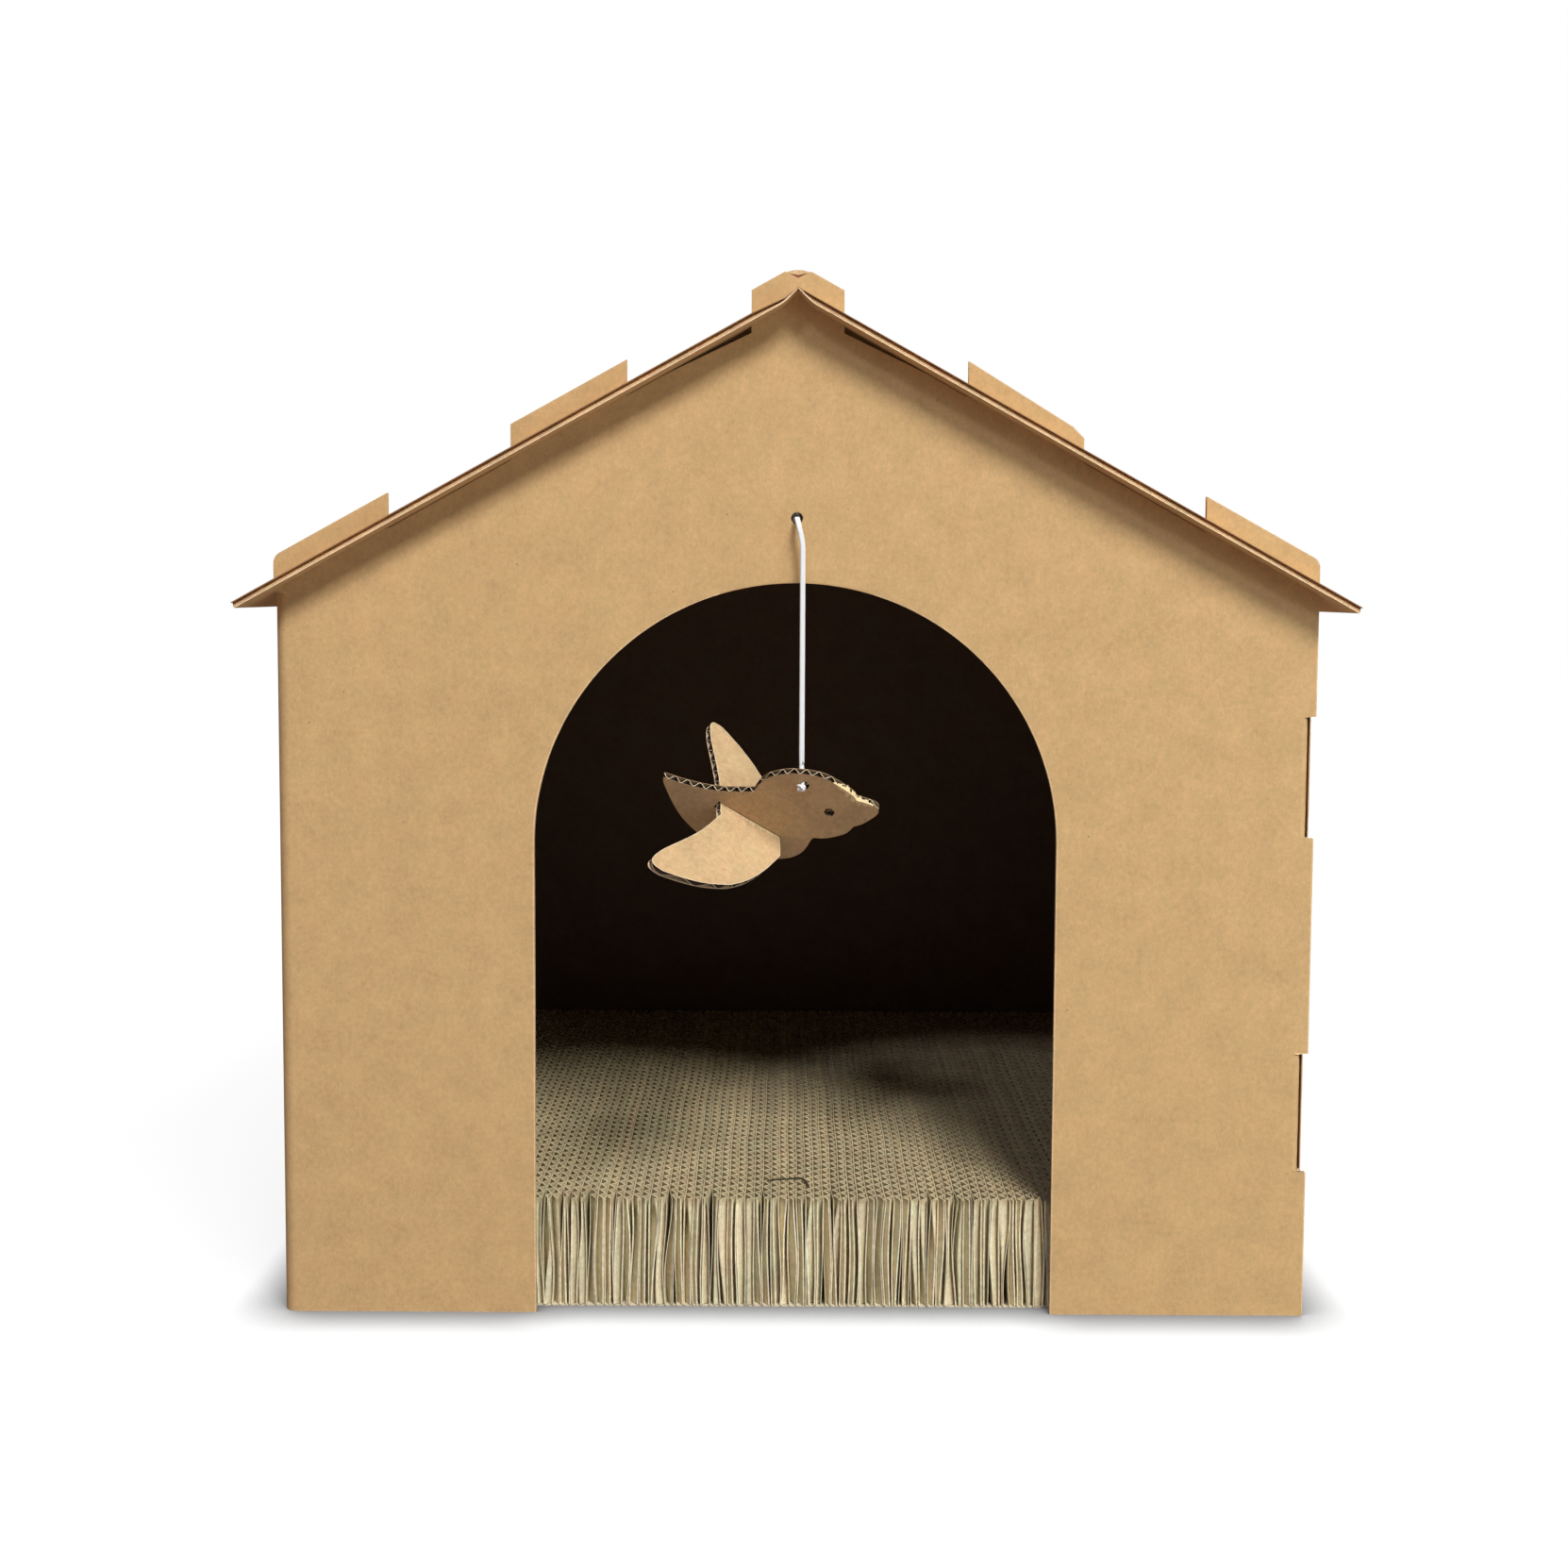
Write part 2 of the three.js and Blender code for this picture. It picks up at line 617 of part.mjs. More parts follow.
const house = new THREE.Group();
house.add(named("front_sheet", wallSheet({ withDoor: true }), materials.wallBoard()));
const backSheet = named("back_sheet", wallSheet({ withDoor: false }), materials.wallBoard());
backSheet.rotation.z = Math.PI;
house.add(backSheet);
house.add(named("roof_sheet", roofSheet(), materials.roofBoard()));
house.add(named("scratch_pad", scratchPad(), materials.padBoard()));
house.add(named("pad_base_sheet", padBase(), materials.padPaper()));
house.add(named("string_knot_inside", insideKnot(), materials.string()));
house.add(named("string_bend", stringBend(), materials.string()));
house.add(named("string_drop", stringDrop(), materials.string()));

const bird = birdFrame();
const { body, wings } = birdParts();
bird.add(named("bird_body", body, materials.toyBoard()));
bird.add(named("bird_wings", wings, materials.toyBoard()));
house.add(bird);
house.add(named("bird_knot", birdKnot(bird), materials.string()));

export default house;
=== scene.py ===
# Looks of the cardboard cat house: die-cut corrugated sheets with real liners and flutes,
# a scratching pad of strips on edge, and a cut-out bird on a white string.
import math

import bmesh
import bpy
import numpy as np
from mathutils import Matrix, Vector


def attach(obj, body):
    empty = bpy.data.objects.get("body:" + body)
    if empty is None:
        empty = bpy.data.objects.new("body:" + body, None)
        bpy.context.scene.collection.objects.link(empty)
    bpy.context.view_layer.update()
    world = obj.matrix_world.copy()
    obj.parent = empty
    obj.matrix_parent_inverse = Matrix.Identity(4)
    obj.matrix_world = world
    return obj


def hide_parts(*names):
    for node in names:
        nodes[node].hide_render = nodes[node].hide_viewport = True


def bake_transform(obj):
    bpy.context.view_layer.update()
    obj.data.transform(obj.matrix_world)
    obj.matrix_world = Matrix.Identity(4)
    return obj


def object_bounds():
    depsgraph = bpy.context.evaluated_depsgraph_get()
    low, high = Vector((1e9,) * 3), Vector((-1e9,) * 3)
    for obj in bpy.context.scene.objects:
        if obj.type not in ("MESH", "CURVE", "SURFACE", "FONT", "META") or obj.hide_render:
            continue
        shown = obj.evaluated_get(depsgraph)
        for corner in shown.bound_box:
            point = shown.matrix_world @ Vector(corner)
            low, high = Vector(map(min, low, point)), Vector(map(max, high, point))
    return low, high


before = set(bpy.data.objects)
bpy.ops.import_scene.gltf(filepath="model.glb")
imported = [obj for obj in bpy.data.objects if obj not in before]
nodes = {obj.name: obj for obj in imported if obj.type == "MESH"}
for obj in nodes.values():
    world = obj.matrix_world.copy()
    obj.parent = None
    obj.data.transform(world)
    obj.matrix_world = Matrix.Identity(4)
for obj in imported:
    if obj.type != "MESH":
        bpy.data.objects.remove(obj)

cadLow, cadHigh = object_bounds()
mm = 0.001
scene = bpy.context.scene
draws = np.random.default_rng(29)  # every random choice below is drawn from here, in order


# Camera at the place that the photograph was taken from
viewPoint = {"lens": 42.45, "sensor": 36.0, "shiftY": -0.0427, "place": (-5.3 * mm, -1015.9 * mm, 327.6 * mm),
             "pitchDown": 3.94, "roll": 0.277, "clipStart": 0.01, "clipEnd": 50}


def makeCamera():
    data = bpy.data.cameras.new("camera")
    data.lens, data.sensor_width, data.shift_y = viewPoint["lens"], viewPoint["sensor"], viewPoint["shiftY"]
    data.clip_start, data.clip_end = viewPoint["clipStart"], viewPoint["clipEnd"]
    camera = bpy.data.objects.new("camera", data)
    scene.collection.objects.link(camera)
    camera.location = viewPoint["place"]
    camera.rotation_mode = "ZYX"
    camera.rotation_euler = (math.radians(90 - viewPoint["pitchDown"]), 0, math.radians(viewPoint["roll"]))
    scene.camera = camera


makeCamera()
print("stage: camera")


def meshFrom(name, points, faces):
    # points is N by 3, and faces is F by 3 or 4 corner numbers
    mesh = bpy.data.meshes.new(name)
    count, corners = faces.shape
    mesh.vertices.add(len(points))
    mesh.vertices.foreach_set("co", np.ascontiguousarray(points, np.float32).ravel())
    mesh.loops.add(count * corners)
    mesh.loops.foreach_set("vertex_index", np.ascontiguousarray(faces, np.int32).ravel())
    mesh.polygons.add(count)
    mesh.polygons.foreach_set("loop_start", np.arange(count, dtype=np.int32) * corners)
    mesh.update(calc_edges=True)
    return mesh


def gridFaces(rows, columns, wrapRows=False):
    # Corner numbers of a grid's quads; with wrapRows the last row joins the first
    r = np.arange(rows if wrapRows else rows - 1)
    c = np.arange(columns - 1)
    a = (r[:, None] * columns + c[None, :]).ravel()
    b = (((r + 1) % rows)[:, None] * columns + c[None, :]).ravel()
    return np.stack([a, a + 1, b + 1, b], 1)


def gathered(items, key, kind, width=1):
    # One attribute of all the items of a mesh, as an array
    values = np.zeros(len(items) * width, kind)
    items.foreach_get(key, values)
    return values.reshape(-1, width) if width > 1 else values


def addPiece(name, mesh, body, materials, replaced=(), smooth=False):
    # A piece on a body, with the given materials, in place of the CAD parts that it replaces
    piece = bpy.data.objects.new(name, mesh)
    scene.collection.objects.link(piece)
    for material in materials:
        mesh.materials.append(material)
    mesh.polygons.foreach_set("use_smooth", np.full(len(mesh.polygons), smooth))
    if body:
        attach(piece, body)
    if replaced:
        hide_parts(*replaced)
    return piece


def applied(piece):
    # Puts the piece's modifiers into its mesh
    bpy.context.view_layer.update()
    mesh = bpy.data.meshes.new_from_object(piece.evaluated_get(bpy.context.evaluated_depsgraph_get()))
    piece.modifiers.clear()
    old = piece.data
    piece.data = mesh
    bpy.data.meshes.remove(old)


def thickened(piece, thickness, offset, rimMaterial=0):
    # Gives an open sheet its thickness: behind it with offset -1, in front with 1, half each way with 0
    sheet = piece.modifiers.new("sheet", "SOLIDIFY")
    sheet.thickness, sheet.offset, sheet.material_offset_rim = thickness, offset, rimMaterial
    applied(piece)


def tubeAlong(name, path, radius, sides, twist=0, lobes=0, depth=0):
    # A ring of points carried along a path, with a fan of triangles over each end. The ring's radius may rise
    # and fall round it in lobes that twist along it. Returns the mesh and the run length at each path point.
    path = np.asarray(path, float)
    steps = np.diff(path, axis=0)
    along = np.vstack([steps[:1], steps[:-1] + steps[1:], steps[-1:]])
    along /= np.linalg.norm(along, axis=1, keepdims=True)
    run = np.concatenate([[0], np.cumsum(np.linalg.norm(steps, axis=1))])
    side = np.zeros_like(path)
    first = np.cross(along[0], [1.0, 0, 0] if abs(along[0][0]) < 0.9 else [0, 1.0, 0])
    for i, way in enumerate(along):
        first = first - way * first.dot(way)
        first /= np.linalg.norm(first)
        side[i] = first
    other = np.cross(along, side)
    angle = np.linspace(0, 2 * np.pi, sides, endpoint=False)
    reach = radius * (1 - depth * np.cos(lobes * angle[None, :] - twist * run[:, None]))
    ring = path[:, None] + reach[..., None] * (np.cos(angle)[None, :, None] * side[:, None]
                                                + np.sin(angle)[None, :, None] * other[:, None])
    points = np.vstack([ring.transpose(1, 0, 2).reshape(-1, 3), path[:1], path[-1:]])
    walls = gridFaces(sides, len(path), wrapRows=True)
    here, after = np.arange(sides) * len(path), (np.arange(sides) + 1) % sides * len(path)
    startCap = np.stack([here, after, np.full(sides, sides * len(path))], 1)
    endCap = np.stack([after + len(path) - 1, here + len(path) - 1, np.full(sides, sides * len(path) + 1)], 1)
    mesh = bpy.data.meshes.new(name)
    mesh.from_pydata(points.tolist(), [], walls.tolist() + startCap.tolist() + endCap.tolist())
    return mesh, run


def smoothLine(points, each):
    # Catmull-Rom curve through the points, each span cut into equal shares of its parameter
    p = np.vstack([2 * points[0] - points[1], points, 2 * points[-1] - points[-2]])
    t = np.linspace(0, 1, each, endpoint=False)[None, :, None]
    a, b, c, d = (p[i:len(p) - 3 + i, None] for i in range(4))
    square, cube = 2 * a - 5 * b + 4 * c - d, 3 * b - a - 3 * c + d
    spans = 0.5 * (2 * b + (c - a) * t + square * t ** 2 + cube * t ** 3)
    return np.vstack([spans.reshape(-1, 3), points[-1:]])


def placed(points, matrix):
    m = np.array(matrix)
    return np.asarray(points, float) @ m[:3, :3].T + m[:3, 3]


# Materials
paperLook = {"roughness": 0.88, "specular": 0.25, "toothDistance": 0.3 * mm, "cloudScale": 60,
             "mottleScale": 360, "fibreScale": (1500, 1500, 520), "fibreBend": 1.2,
             "speckScale": 130, "speckCore": 0.03, "speckRim": 0.075,
             "speckChance": 0.9, "speckTone": 0.42, "patchScale": 75, "patchFrom": 0.36,
             "patchTo": 0.64, "patchTint": (0.01, -0.07, -0.05)}
boardLook = {"pitch": 6.2 * mm, "perFlute": 12, "liner": 0.36 * mm, "flute": 0.3 * mm,
             "washboard": 0.012 * mm, "rim": 0.6 * mm, "press": 0.15, "roofPitch": math.radians(29),
             "underRoof": 454 * mm, "sliver": 0.02 * mm, "weld": 0.001 * mm, "onFace": 0.1 * mm}


def addNode(tree, kind, inputs=None, **settings):
    # One shader node: settings are its properties, and an input takes a value or the output that feeds it
    node = tree.nodes.new("ShaderNode" + kind)
    for key, value in settings.items():
        setattr(node, key, value)
    for key, value in (inputs or {}).items():
        if isinstance(value, bpy.types.NodeSocket):
            tree.links.new(value, node.inputs[key])
        else:
            node.inputs[key].default_value = value
    return node


def reckoned(tree, operation, *inputs, kind="Math", **settings):
    # What a Math or VectorMath node makes of its inputs, given in their order
    return addNode(tree, kind, dict(enumerate(inputs)), operation=operation, **settings).outputs[0]


def scaled(tree, vector, factor):
    return addNode(tree, "VectorMath", {0: vector, "Scale": factor}, operation="SCALE").outputs[0]


def ranged(tree, value, low, high, first, last):
    # The stretch of a value from low to high, laid on the stretch from first to last
    return addNode(tree, "MapRange", {"Value": value, "From Min": low, "From Max": high, "To Min": first,
                                      "To Max": last}).outputs[0]


def linear(colour):
    # A colour as it is seen, 0 to 255, turned into the shader's linear values
    share = np.array(colour) / 255
    return (*np.where(share <= 0.04045, share / 12.92, ((share + 0.055) / 1.055) ** 2.4).tolist(), 1.0)


def makePaperGroup():
    # Paper: cloudy tone, fibres lying one way, a few dark specks, and a fine tooth for the surface
    group = bpy.data.node_groups.new("paper", "ShaderNodeTree")
    for name, kind, value in (("Vector", "Vector", (0, 0, 0)), ("Tone", "Color", (1, 1, 1, 1)),
                              ("Clouding", "Float", 0.08), ("Fibre", "Float", 0.1), ("Specks", "Float", 0.5),
                              ("Blush", "Float", 1)):
        socket = group.interface.new_socket(name, in_out="INPUT", socket_type="NodeSocket" + kind)
        socket.default_value = value
    group.interface.new_socket("Color", in_out="OUTPUT", socket_type="NodeSocketColor")
    group.interface.new_socket("Height", in_out="OUTPUT", socket_type="NodeSocketFloat")
    source = group.nodes.new("NodeGroupInput").outputs
    sink = group.nodes.new("NodeGroupOutput").inputs
    place = source["Vector"]

    def noise(scale, detail, roughness, vector=place, distortion=0):
        return addNode(group, "TexNoise", {"Vector": vector, "Scale": scale, "Detail": detail,
                                           "Roughness": roughness, "Distortion": distortion}).outputs[0]

    cloud, mottle = noise(paperLook["cloudScale"], 6, 0.7), noise(paperLook["mottleScale"], 3, 0.75)
    stretched = addNode(group, "Mapping", {"Vector": place, "Scale": paperLook["fibreScale"]}).outputs[0]
    fibre = noise(1, 3, 0.6, stretched, paperLook["fibreBend"])
    centred = reckoned(group, "SUBTRACT", reckoned(group, "ADD", cloud, mottle), 1)
    clouded = reckoned(group, "MULTIPLY", centred, source["Clouding"])
    fibred = reckoned(group, "MULTIPLY", reckoned(group, "SUBTRACT", fibre, 0.5), source["Fibre"])
    level = reckoned(group, "ADD", reckoned(group, "ADD", clouded, fibred), 1)
    toned = scaled(group, source["Tone"], level)
    # Patches a centimetre across drift between a redder and a yellower tone
    drift = noise(paperLook["patchScale"], 4, 0.6)
    patch = ranged(group, drift, paperLook["patchFrom"], paperLook["patchTo"], -0.5, 0.5)
    tint = scaled(group, paperLook["patchTint"], reckoned(group, "MULTIPLY", patch, source["Blush"]))
    factor = reckoned(group, "ADD", tint, (1, 1, 1), kind="VectorMath")
    hued = reckoned(group, "MULTIPLY", toned, factor, kind="VectorMath")
    # A dark speck lies in the middle of every tenth cell
    cells = addNode(group, "TexVoronoi", {"Vector": place, "Scale": paperLook["speckScale"]}).outputs
    dot = ranged(group, cells["Distance"], paperLook["speckCore"], paperLook["speckRim"], 1, 0)
    chance = addNode(group, "SeparateColor", {0: cells["Color"]}).outputs[0]
    few = reckoned(group, "GREATER_THAN", chance, paperLook["speckChance"])
    shown = reckoned(group, "MULTIPLY", dot, few)
    amount = reckoned(group, "MULTIPLY", shown, source["Specks"], use_clamp=True)
    dark = scaled(group, hued, paperLook["speckTone"])
    specked = addNode(group, "Mix", {0: amount, 6: hued, 7: dark}, data_type="RGBA").outputs[2]
    group.links.new(specked, sink["Color"])
    group.links.new(reckoned(group, "ADD", fibre, mottle), sink["Height"])
    return group


paperGroup = makePaperGroup()


def paperMaterial(name, tone, clouding=0.32, fibre=0.16, specks=0.8, tooth=0.05, blush=1, ribs=None,
                  shade=None, aboveRoof=None):
    # ribs is the axis across the flutes underneath, which just show through the liner as a washboard.
    # shade names a colour attribute that multiplies the tone. aboveRoof is the tone over the roof's slopes;
    # when it is given, the tone under them is painted shade.
    material = bpy.data.materials.new(name)
    material.use_nodes = True
    tree = material.node_tree
    shader = tree.nodes["Principled BSDF"]
    shader.inputs["Roughness"].default_value = paperLook["roughness"]
    shader.inputs["Specular IOR Level"].default_value = paperLook["specular"]
    place = addNode(tree, "TexCoord").outputs["Object"]
    toneInput = linear(tone)
    # Painted shade: below the roof's underside the darker tone stands in for the shade inside the house
    if aboveRoof:
        axes = addNode(tree, "SeparateXYZ", {0: place}).outputs
        rise = reckoned(tree, "MULTIPLY_ADD", reckoned(tree, "ABSOLUTE", axes["X"]),
                        math.tan(boardLook["roofPitch"]), axes["Z"])
        out = reckoned(tree, "GREATER_THAN", rise, boardLook["underRoof"])
        tones = {0: out, 6: toneInput, 7: linear(aboveRoof)}
        toneInput = addNode(tree, "Mix", tones, data_type="RGBA").outputs[2]
    paper = addNode(tree, "Group", {"Vector": place, "Tone": toneInput, "Clouding": clouding, "Fibre": fibre,
                                    "Specks": specks, "Blush": blush}, node_tree=paperGroup).outputs
    colour = paper["Color"]
    if shade:
        own = addNode(tree, "Attribute", attribute_name=shade).outputs["Color"]
        colour = reckoned(tree, "MULTIPLY", colour, own, kind="VectorMath")
    normal = addNode(tree, "Bump", {"Strength": tooth, "Distance": paperLook["toothDistance"],
                                    "Height": paper["Height"]}).outputs[0]
    if ribs:
        across = addNode(tree, "SeparateXYZ", {0: place}).outputs[ribs]
        wave = reckoned(tree, "SINE", reckoned(tree, "MULTIPLY", across, 2 * math.pi / boardLook["pitch"]))
        normal = addNode(tree, "Bump", {"Strength": 1, "Distance": boardLook["washboard"], "Height": wave,
                                        "Normal": normal}).outputs[0]
    tree.links.new(colour, shader.inputs["Base Color"])
    tree.links.new(normal, shader.inputs["Normal"])
    return material


wallFace = paperMaterial("wallFace", (208, 171, 120), clouding=0.42, fibre=0.36, blush=0.4, ribs="X")
# The inner liner is darkened under the roof as painted shade for the inside of the house; above the roof it
# keeps the outer kraft tone
wallInsidePaintedShade = paperMaterial("wallInsidePaintedShade", (126, 109, 97), aboveRoof=(208, 171, 120))
roofFace = paperMaterial("roofFace", (205, 166, 118), clouding=0.42, fibre=0.36, blush=0.5, ribs="Y")
wallEdge = paperMaterial("wallEdge", (228, 194, 146), clouding=0.6, fibre=0.5, specks=0, tooth=0.3)
cutEdge = paperMaterial("cutEdge", (244, 222, 186), clouding=0.6, fibre=0.5, specks=0, tooth=0.3)
fluteBrown = paperMaterial("fluteBrown", (166, 126, 88), clouding=0.3, fibre=0.2, specks=0)
# The roof's flute paper is paler than the walls' as painted light, so that its cut edge reads lit where it
# lies in shade
roofFlutePaintedLight = paperMaterial("roofFlutePaintedLight", (216, 178, 132), clouding=0.9, fibre=0.6, specks=0)
# The bird's flute paper is near black as painted shade for the gaps between its flutes
toyFlutePaintedShade = paperMaterial("toyFlutePaintedShade", (62, 48, 36), clouding=0.3, fibre=0.2, specks=0)
# The bird body's cut edges are darker than cut edges elsewhere, as painted shade
toyEdgePaintedShade = paperMaterial("toyEdgePaintedShade", (150, 122, 90), clouding=0.9, fibre=0.6, specks=0, tooth=0.3)
padPaper = paperMaterial("padPaper", (184, 168, 129), 0.5, 0.4, 0.3, tooth=0.3, shade="strip")
padEdge = paperMaterial("padEdge", (206, 189, 150), 0.7, 0.6, 0, tooth=0.6, shade="strip")
padFlute = paperMaterial("padFlute", (192, 175, 136), 0.6, 0.5, 0.2, tooth=0.4, shade="strip")
baseSheet = paperMaterial("baseSheet", (214, 202, 176), clouding=0.4, fibre=0.3, specks=0, tooth=0.3)
looseFibre = paperMaterial("looseFibre", (62, 57, 40), specks=0)
toyFace = paperMaterial("toyFace", (202, 169, 126), clouding=0.6, fibre=0.5)
tornPaper = paperMaterial("tornPaper", (236, 208, 160), clouding=0.6, fibre=0.5, specks=0, tooth=0.5)
nickShadePaper = paperMaterial("nickShadePaper", (146, 92, 68), clouding=0.5, fibre=0.4, specks=0.2)


def stringMaterial():
    # White cord: fine slanting yarns, as stripes across the tube's own UV map, which is in metres
    material = bpy.data.materials.new("whiteString")
    material.use_nodes = True
    tree = material.node_tree
    shader = tree.nodes["Principled BSDF"]
    shader.inputs["Roughness"].default_value = 0.75
    shader.inputs["Sheen Weight"].default_value = 0.2
    uv = addNode(tree, "UVMap", uv_map="UVMap").outputs[0]
    turned = addNode(tree, "Mapping", {"Vector": uv, "Rotation": (0, 0, 0.9)}).outputs[0]
    stripes = {"Vector": turned, "Scale": 620, "Distortion": 0.6, "Detail": 1}
    yarns = addNode(tree, "TexWave", stripes).outputs[1]
    tint = ranged(tree, yarns, 0, 1, 0.78, 0.93)
    tone = addNode(tree, "CombineColor", {0: tint, 1: tint, 2: tint}).outputs[0]
    bump = addNode(tree, "Bump", {"Strength": 0.3, "Distance": 0.15 * mm, "Height": yarns}).outputs[0]
    tree.links.new(tone, shader.inputs["Base Color"])
    tree.links.new(bump, shader.inputs["Normal"])
    return material


whiteString = stringMaterial()
print("stage: materials")


# String: out of the wall, down in front of the doorway, to the bird
string = {"diameter": 2.4 * mm, "mouth": (0, -197.8 * mm, 359 * mm), "lead": 0.7 * mm, "bend": 4.8 * mm,
          "tail": 9 * mm, "drift": 2.6 * mm, "low": 250.95 * mm, "swing": 343.7 * mm, "swingReach": 5 * mm,
          "twist": 2, "waist": 0.34, "lap": 0.8 * mm, "drawnThin": 0.98, "sides": 24, "bendSteps": 13,
          "tailSteps": 8, "dropSteps": 60, "wallFront": -197.5 * mm, "wallBack": -194.5 * mm}
birdKnot = {"radius": 0.74 * mm, "big": 1.0 * mm, "small": 0.55 * mm, "stand": 1.8 * mm, "off": -1.2 * mm,
            "before": 1.5 * mm, "behind": 0.8 * mm}
wallKnot = {"radius": 0.95 * mm, "big": 1.6 * mm, "small": 0.8 * mm, "stand": 2.0 * mm}
knotTurns = {"round": 2, "through": 3, "steps": 72, "swell": 1.2}
birdPlace = {"lean": 37, "yaw": -9, "hole": (3.65 * mm, -208.725 * mm, 242 * mm), "thickness": 3.6 * mm,
             "wingSlant": 39.5, "wingRoot": (-25.1 * mm, 0, -25.4 * mm)}
birdFrame = (Matrix.Translation(birdPlace["hole"]) @ Matrix.Rotation(math.radians(birdPlace["yaw"]), 4, "Z")
             @ Matrix.Rotation(math.radians(birdPlace["lean"]), 4, "X"))
wingFrame = birdFrame @ Matrix.Translation(birdPlace["wingRoot"]) @ Matrix.Rotation(
    math.radians(birdPlace["wingSlant"]), 4, "Y")


def stringLine():
    # Straight out, a quarter circle down, then plumb; the side drift is a smooth step over bend and tail
    arc = np.linspace(0, np.pi / 2, string["bendSteps"])
    mouth = np.array(string["mouth"])
    total = np.pi / 2 * string["bend"] + string["tail"]
    smooth = lambda run: string["drift"] * (3 * (run / total) ** 2 - 2 * (run / total) ** 3)
    bend = np.stack([smooth(arc * string["bend"]),
                     mouth[1] - string["lead"] - string["bend"] * np.sin(arc),
                     mouth[2] - string["bend"] * (1 - np.cos(arc))], 1)
    fall = np.linspace(0, string["tail"], string["tailSteps"])[1:]
    tail = np.stack([smooth(np.pi / 2 * string["bend"] + fall), np.full(len(fall), bend[-1, 1]),
                     bend[-1, 2] - fall], 1)
    drop = np.linspace(tail[-1], [string["drift"], bend[-1, 1], string["low"]], string["dropSteps"])[1:]
    return np.vstack([mouth, bend, tail, drop])


def stringPiece(name, path, radius, body, *replaced):
    # Two strands side by side, all but untwisted. The UV map is in metres, round and along the cord.
    sides, rows = string["sides"], len(path)
    waist = string["waist"]
    mesh, run = tubeAlong(name, path, radius / (1 + waist), sides, string["twist"], 2, waist)
    corners = gathered(mesh.loops, "vertex_index", np.int32)
    ring, step = np.divmod(np.minimum(corners, sides * rows - 1), rows)
    # The seam's far corners get a full turn so that the map doesn't run back round the cord
    face = np.arange(len(corners)) // 4
    wrapped = (ring == 0) & (face >= (sides - 1) * (rows - 1)) & (face < sides * (rows - 1))
    around = (ring + sides * wrapped) / sides * 2 * np.pi * radius
    layer = mesh.uv_layers.new(name="UVMap")
    layer.data.foreach_set("uv", np.stack([around, run[step]], 1).astype(np.float32).ravel())
    return addPiece(name, mesh, body, [whiteString], replaced, smooth=True)


def knotPath(knot, centre):
    # A line wound on a ring: some turns round the ring while it goes some times through
    t = np.linspace(0, 2 * np.pi, knotTurns["steps"])
    turn, dive = knotTurns["round"] * t, knotTurns["through"] * t
    reach = knot["big"] + knot["small"] * np.cos(dive)
    ring = np.stack([reach * np.cos(turn), knot["small"] * knotTurns["swell"] * np.sin(dive),
                     reach * np.sin(turn)], 1)
    return ring + np.asarray(centre)


def makeString():
    line = stringLine()
    radius, drift, front = string["diameter"] / 2, string["drift"], float(line[-1][1])
    cord = stringPiece("hanging_string", line, radius, None, "string_bend", "string_drop")
    # On the bird: up from behind the hole, through it, and a knot in front that can't slip back
    off, board = birdKnot["off"], birdPlace["thickness"]
    depths = (-birdKnot["before"], 0, board, board + birdKnot["behind"])
    through = placed([(off, y, 0) for y in depths], birdFrame)
    end = np.array([drift, front, string["low"] + string["lap"]])
    rough = np.vstack([through, end - [0, 0, string["diameter"]], end])
    thin = radius * string["drawnThin"]
    upper = stringPiece("bird_string", smoothLine(rough, 8), thin, "bird", "bird_knot")
    ball = placed(knotPath(birdKnot, (off, -birdKnot["stand"], 0)), birdFrame)
    knot = stringPiece("bird_string_knot", ball, birdKnot["radius"], "bird", "bird_knot")
    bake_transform(cord)
    # Behind the wall: through the hole to a knot drawn up against it
    inner, height = string["wallBack"] + wallKnot["stand"], string["mouth"][2]
    hole = np.linspace([0, string["wallFront"], height], [0, inner, height], 6)
    stringPiece("string_in_wall", hole, radius, "house", "string_knot_inside")
    ball = knotPath(wallKnot, (0, inner, height))
    stringPiece("string_wall_knot", ball, wallKnot["radius"], "house", "string_knot_inside")


makeString()


# Board: liners taken from the CAD sheet's own faces, and a fluted medium between them, clipped by the sheet

def mergedNode(nodeName, toLocal=None):
    # A node's mesh, moved by toLocal if it is given, with its loose triangles joined
    bm = bmesh.new()
    bm.from_mesh(nodes[nodeName].data)
    if toLocal is not None:
        bmesh.ops.transform(bm, matrix=toLocal, verts=bm.verts)
    bmesh.ops.remove_doubles(bm, verts=bm.verts, dist=boardLook["weld"])
    return bm


def sheetFaces(nodeName, keep, toLocal=None):
    # The merged faces of a node that keep(centres, normals) picks, as an open sheet
    bm = mergedNode(nodeName, toLocal)
    bm.normal_update()
    centres = np.array([f.calc_center_median()[:] for f in bm.faces])
    normals = np.array([f.normal[:] for f in bm.faces])
    kept = np.array(keep(centres, normals))
    # A sliver's normal can't be trusted: it stays where all its corners belong to kept faces
    used = {v.index for f, stays in zip(bm.faces, kept) if stays for v in f.verts}
    for number, f in enumerate(bm.faces):
        thin = f.calc_area() < boardLook["sliver"] * max(e.calc_length() for e in f.edges)
        kept[number] |= thin and all(v.index in used for v in f.verts)
    bmesh.ops.delete(bm, geom=[f for f, stays in zip(bm.faces, kept) if not stays], context="FACES")
    bmesh.ops.dissolve_limit(bm, angle_limit=math.radians(0.3), verts=bm.verts, edges=bm.edges)
    return bm


def sliced(bm, axis, places):
    # Cuts the sheet along planes square to an axis, at each of the places
    way = np.eye(3)[axis]
    for place in places:
        geometry = bm.verts[:] + bm.edges[:] + bm.faces[:]
        bmesh.ops.bisect_plane(bm, geom=geometry, plane_co=way * place, plane_no=way, dist=boardLook["weld"])
    return bm


